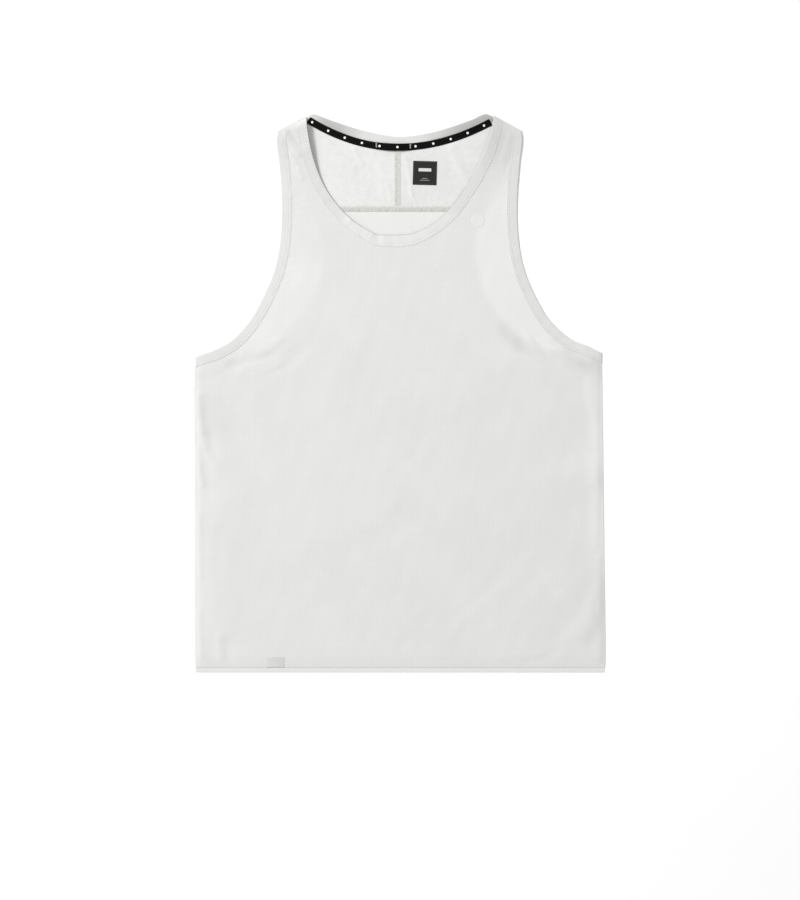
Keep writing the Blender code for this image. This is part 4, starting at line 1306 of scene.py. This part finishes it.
def make_tape(finishes):
    """The spotted neck tape, its hanging loop with two bar tacks, and the tape's own stitching."""
    line = tape_line(-TAPE_HALF_LENGTH, TAPE_HALF_LENGTH, 240)
    mesh = tape_mesh(line, on_neck, np.interp(BACK_NECK_SWING, line[:, 0], arc_of(line)))
    add_piece("spotted_neck_tape", mesh, finishes["tape"], "neck_tape")
    mesh = tape_mesh(tape_line(LOOP_FROM_X, LOOP_TO_X, 60), on_tape, BACK_NECK_SWING - LOOP_FROM_X)
    add_piece("hanger_loop", mesh, finishes["tape"], "hanging_loop")
    offset = np.arange(TACK_FROM, TACK_TO, TACK_PITCH)
    tacks = []
    for x in (LOOP_FROM_X + TACK_INSET, LOOP_TO_X - TACK_INSET):
        places = np.column_stack([np.full(len(offset), x), np.interp(x, *line.T) + offset])
        tacks.append(threads(lifted(places, on_tape, TRIM + 0.0001), (1.0, 0.0, 0.0), UP, 0.0011, 0.00030))
    add_piece("loop_bar_tacks", together(tacks), finishes["thread"])
    sides = strip_plan(line, TAPE_WIDTH - 0.0018, 1)
    rows = [stitch_row(lifted(sides[:, side], on_neck, TRIM * 0.93), UP, *TAPE_STITCH) for side in (0, 1)]
    add_piece("tape_stitches", together(rows), finishes["black_thread"])


def turned(local, centre, turn):
    """Plane points turned by an angle round the origin, and moved to a centre."""
    x, y = apart(local)
    cos, sin = np.cos(turn), np.sin(turn)
    return centre + np.stack([x * cos - y * sin, x * sin + y * cos], axis=-1)


def patch_mesh(centre, size, turn, steps, height, thickness=TRIM):
    """A turned rectangle sewn on: a wall that eases down round its rim, with its places from its centre."""
    share = np.linspace(-0.5, 0.5, steps + 1)
    local = np.stack(np.meshgrid(share * size[0], -share * size[1]), axis=-1)
    rim = np.min(np.array(size) / 2 - np.abs(local), axis=-1)
    plan = turned(local, centre, turn)
    sections = wall(plan, height(*apart(plan)), thickness * (0.7 + 0.3 * roll(rim / 0.0008)))
    points, faces, row, column = tube(sections)
    places = np.concatenate([local, local[:, ::-1], local[:, :1]], axis=1)
    return points, faces, places[row, column]


def badge_mesh():
    """The round badge: a low profile with two raised rings, a sum of bell curves, carried round its centre.

    Its rim falls by a quarter round. Its top and foot are each closed by a fan round a point of their own.
    """
    rim = BADGE_RIM + (1 - BADGE_RIM) * np.sin(np.linspace(0.25, 1, 5) * np.pi / 2)
    share = np.concatenate([[0.0], np.linspace(0.08, BADGE_RIM, 23), rim])[:, None]
    profile = 0.00012 + 0.00014 * bump_at(share, 0.90, 0.05) + 0.00010 * bump_at(share, 0.58, 0.05)
    profile = profile * np.sqrt(1 - (np.maximum(share - BADGE_RIM, 0) / 0.0401) ** 2)
    turn = np.linspace(0, 2 * np.pi, 72, endpoint=False)
    x = BADGE_CENTRE[0] + BADGE_RADIUS * share * np.cos(turn)
    y = BADGE_CENTRE[1] + BADGE_RADIUS * share * np.sin(turn)
    ground = on_front(x, y)
    top, foot = np.dstack([x, y, ground + profile]), np.dstack([x, y, ground])
    sections = np.concatenate([top[1:], foot[:0:-1]]).transpose(1, 0, 2)
    rows, columns = sections.shape[:2]
    row, column = grid_corners(rows, columns, True, False)
    quads = (row % rows) * columns + column
    here = np.arange(rows) * columns
    beyond = np.roll(here, -1)
    crown = np.full(rows, rows * columns)
    faces = np.concatenate([
        quads[:, [0, 1, 2]], quads[:, [0, 2, 3]], np.stack([crown, here, beyond], axis=1),
        np.stack([crown + 1, beyond + columns - 1, here + columns - 1], axis=1),
    ])
    points = np.concatenate([sections.reshape(-1, 3), top[:1, 0], foot[:1, 0]])
    faces = outward(points, faces)
    return points, faces, points[faces][..., :2] - BADGE_CENTRE


def make_patches(finishes):
    """Size label with its border of stitches, hem tab, and the round badge on the chest."""
    mesh = patch_mesh(LABEL_CENTRE, (LABEL_SIZE, LABEL_SIZE), LABEL_TURN, 40, on_back)
    label = add_piece("size_label_patch", mesh, finishes["label"], "size_label")
    corners = np.array([(-1, 1), (1, 1), (1, -1), (-1, -1), (-1, 1)]) * (LABEL_SIZE / 2 - LABEL_INSET)
    corners = turned(corners, LABEL_CENTRE, LABEL_TURN)
    border = together([
        stitch_row(lifted(np.linspace(start, end, 20), on_back, TRIM), UP, *LABEL_STITCH)
        for start, end in zip(corners[:-1], corners[1:])
    ])
    label_sewn = add_piece("label_stitches", border, finishes["label_thread"])
    mesh = patch_mesh(HEM_TAB_CENTRE, HEM_TAB_SIZE, 0.0, 30, on_front, TAB)
    tab = add_piece("hem_tab_patch", mesh, finishes["tab"], "hem_tab")
    badge = add_piece("chest_ring_badge", badge_mesh(), finishes["badge"], "chest_badge")
    return label, label_sewn, tab, badge


# --- the studio ---

def make_studio():
    """A plain pale floor, an even sky, one large soft light from the upper left, and the camera overhead."""
    mesh = bpy.data.meshes.new("studio_floor")
    corners = np.array([(-1, -1, 0), (1, -1, 0), (1, 1, 0), (-1, 1, 0)]) * FLOOR_REACH
    mesh.from_pydata(corners.tolist(), [], [[0, 1, 2, 3]])
    mesh.materials.append(floor_finish("pale_floor"))
    placed("studio_floor", mesh)

    world = bpy.data.worlds.new("studio_sky")
    bpy.context.scene.world = world
    world.use_nodes = True
    world.node_tree.nodes["Background"].inputs["Color"].default_value = (1.0, 1.0, 1.0, 1.0)
    world.node_tree.nodes["Background"].inputs["Strength"].default_value = SKY_STRENGTH

    lamp = bpy.data.lights.new("key_light", "AREA")
    lamp.shape, lamp.size, lamp.energy = "DISK", LIGHT_SIZE, LIGHT_POWER
    key = placed("key_light", lamp, LIGHT_PLACE)
    key.rotation_mode = "QUATERNION"
    key.rotation_quaternion = (-Vector(LIGHT_PLACE)).to_track_quat("-Z", "Y")

    lens = bpy.data.cameras.new("overhead_camera")
    lens.lens, lens.sensor_width = LENS, SENSOR
    distance = FRAMED_HEIGHT / 2 / (SENSOR / 2 / LENS)
    bpy.context.scene.camera = placed("overhead_camera", lens, (*CAMERA_OVER, distance))
    bpy.context.scene.view_settings.view_transform = "Standard"


make_studio()
finishes = make_finishes()
(front, front_area), (lower, lower_area), yokes = make_panels(finishes)
bands = make_bands(finishes)
band_stitches = make_band_stitches(bands, finishes)
make_seam_strips(finishes)
make_tape(finishes)
label, label_sewn, tab, badge = make_patches(finishes)
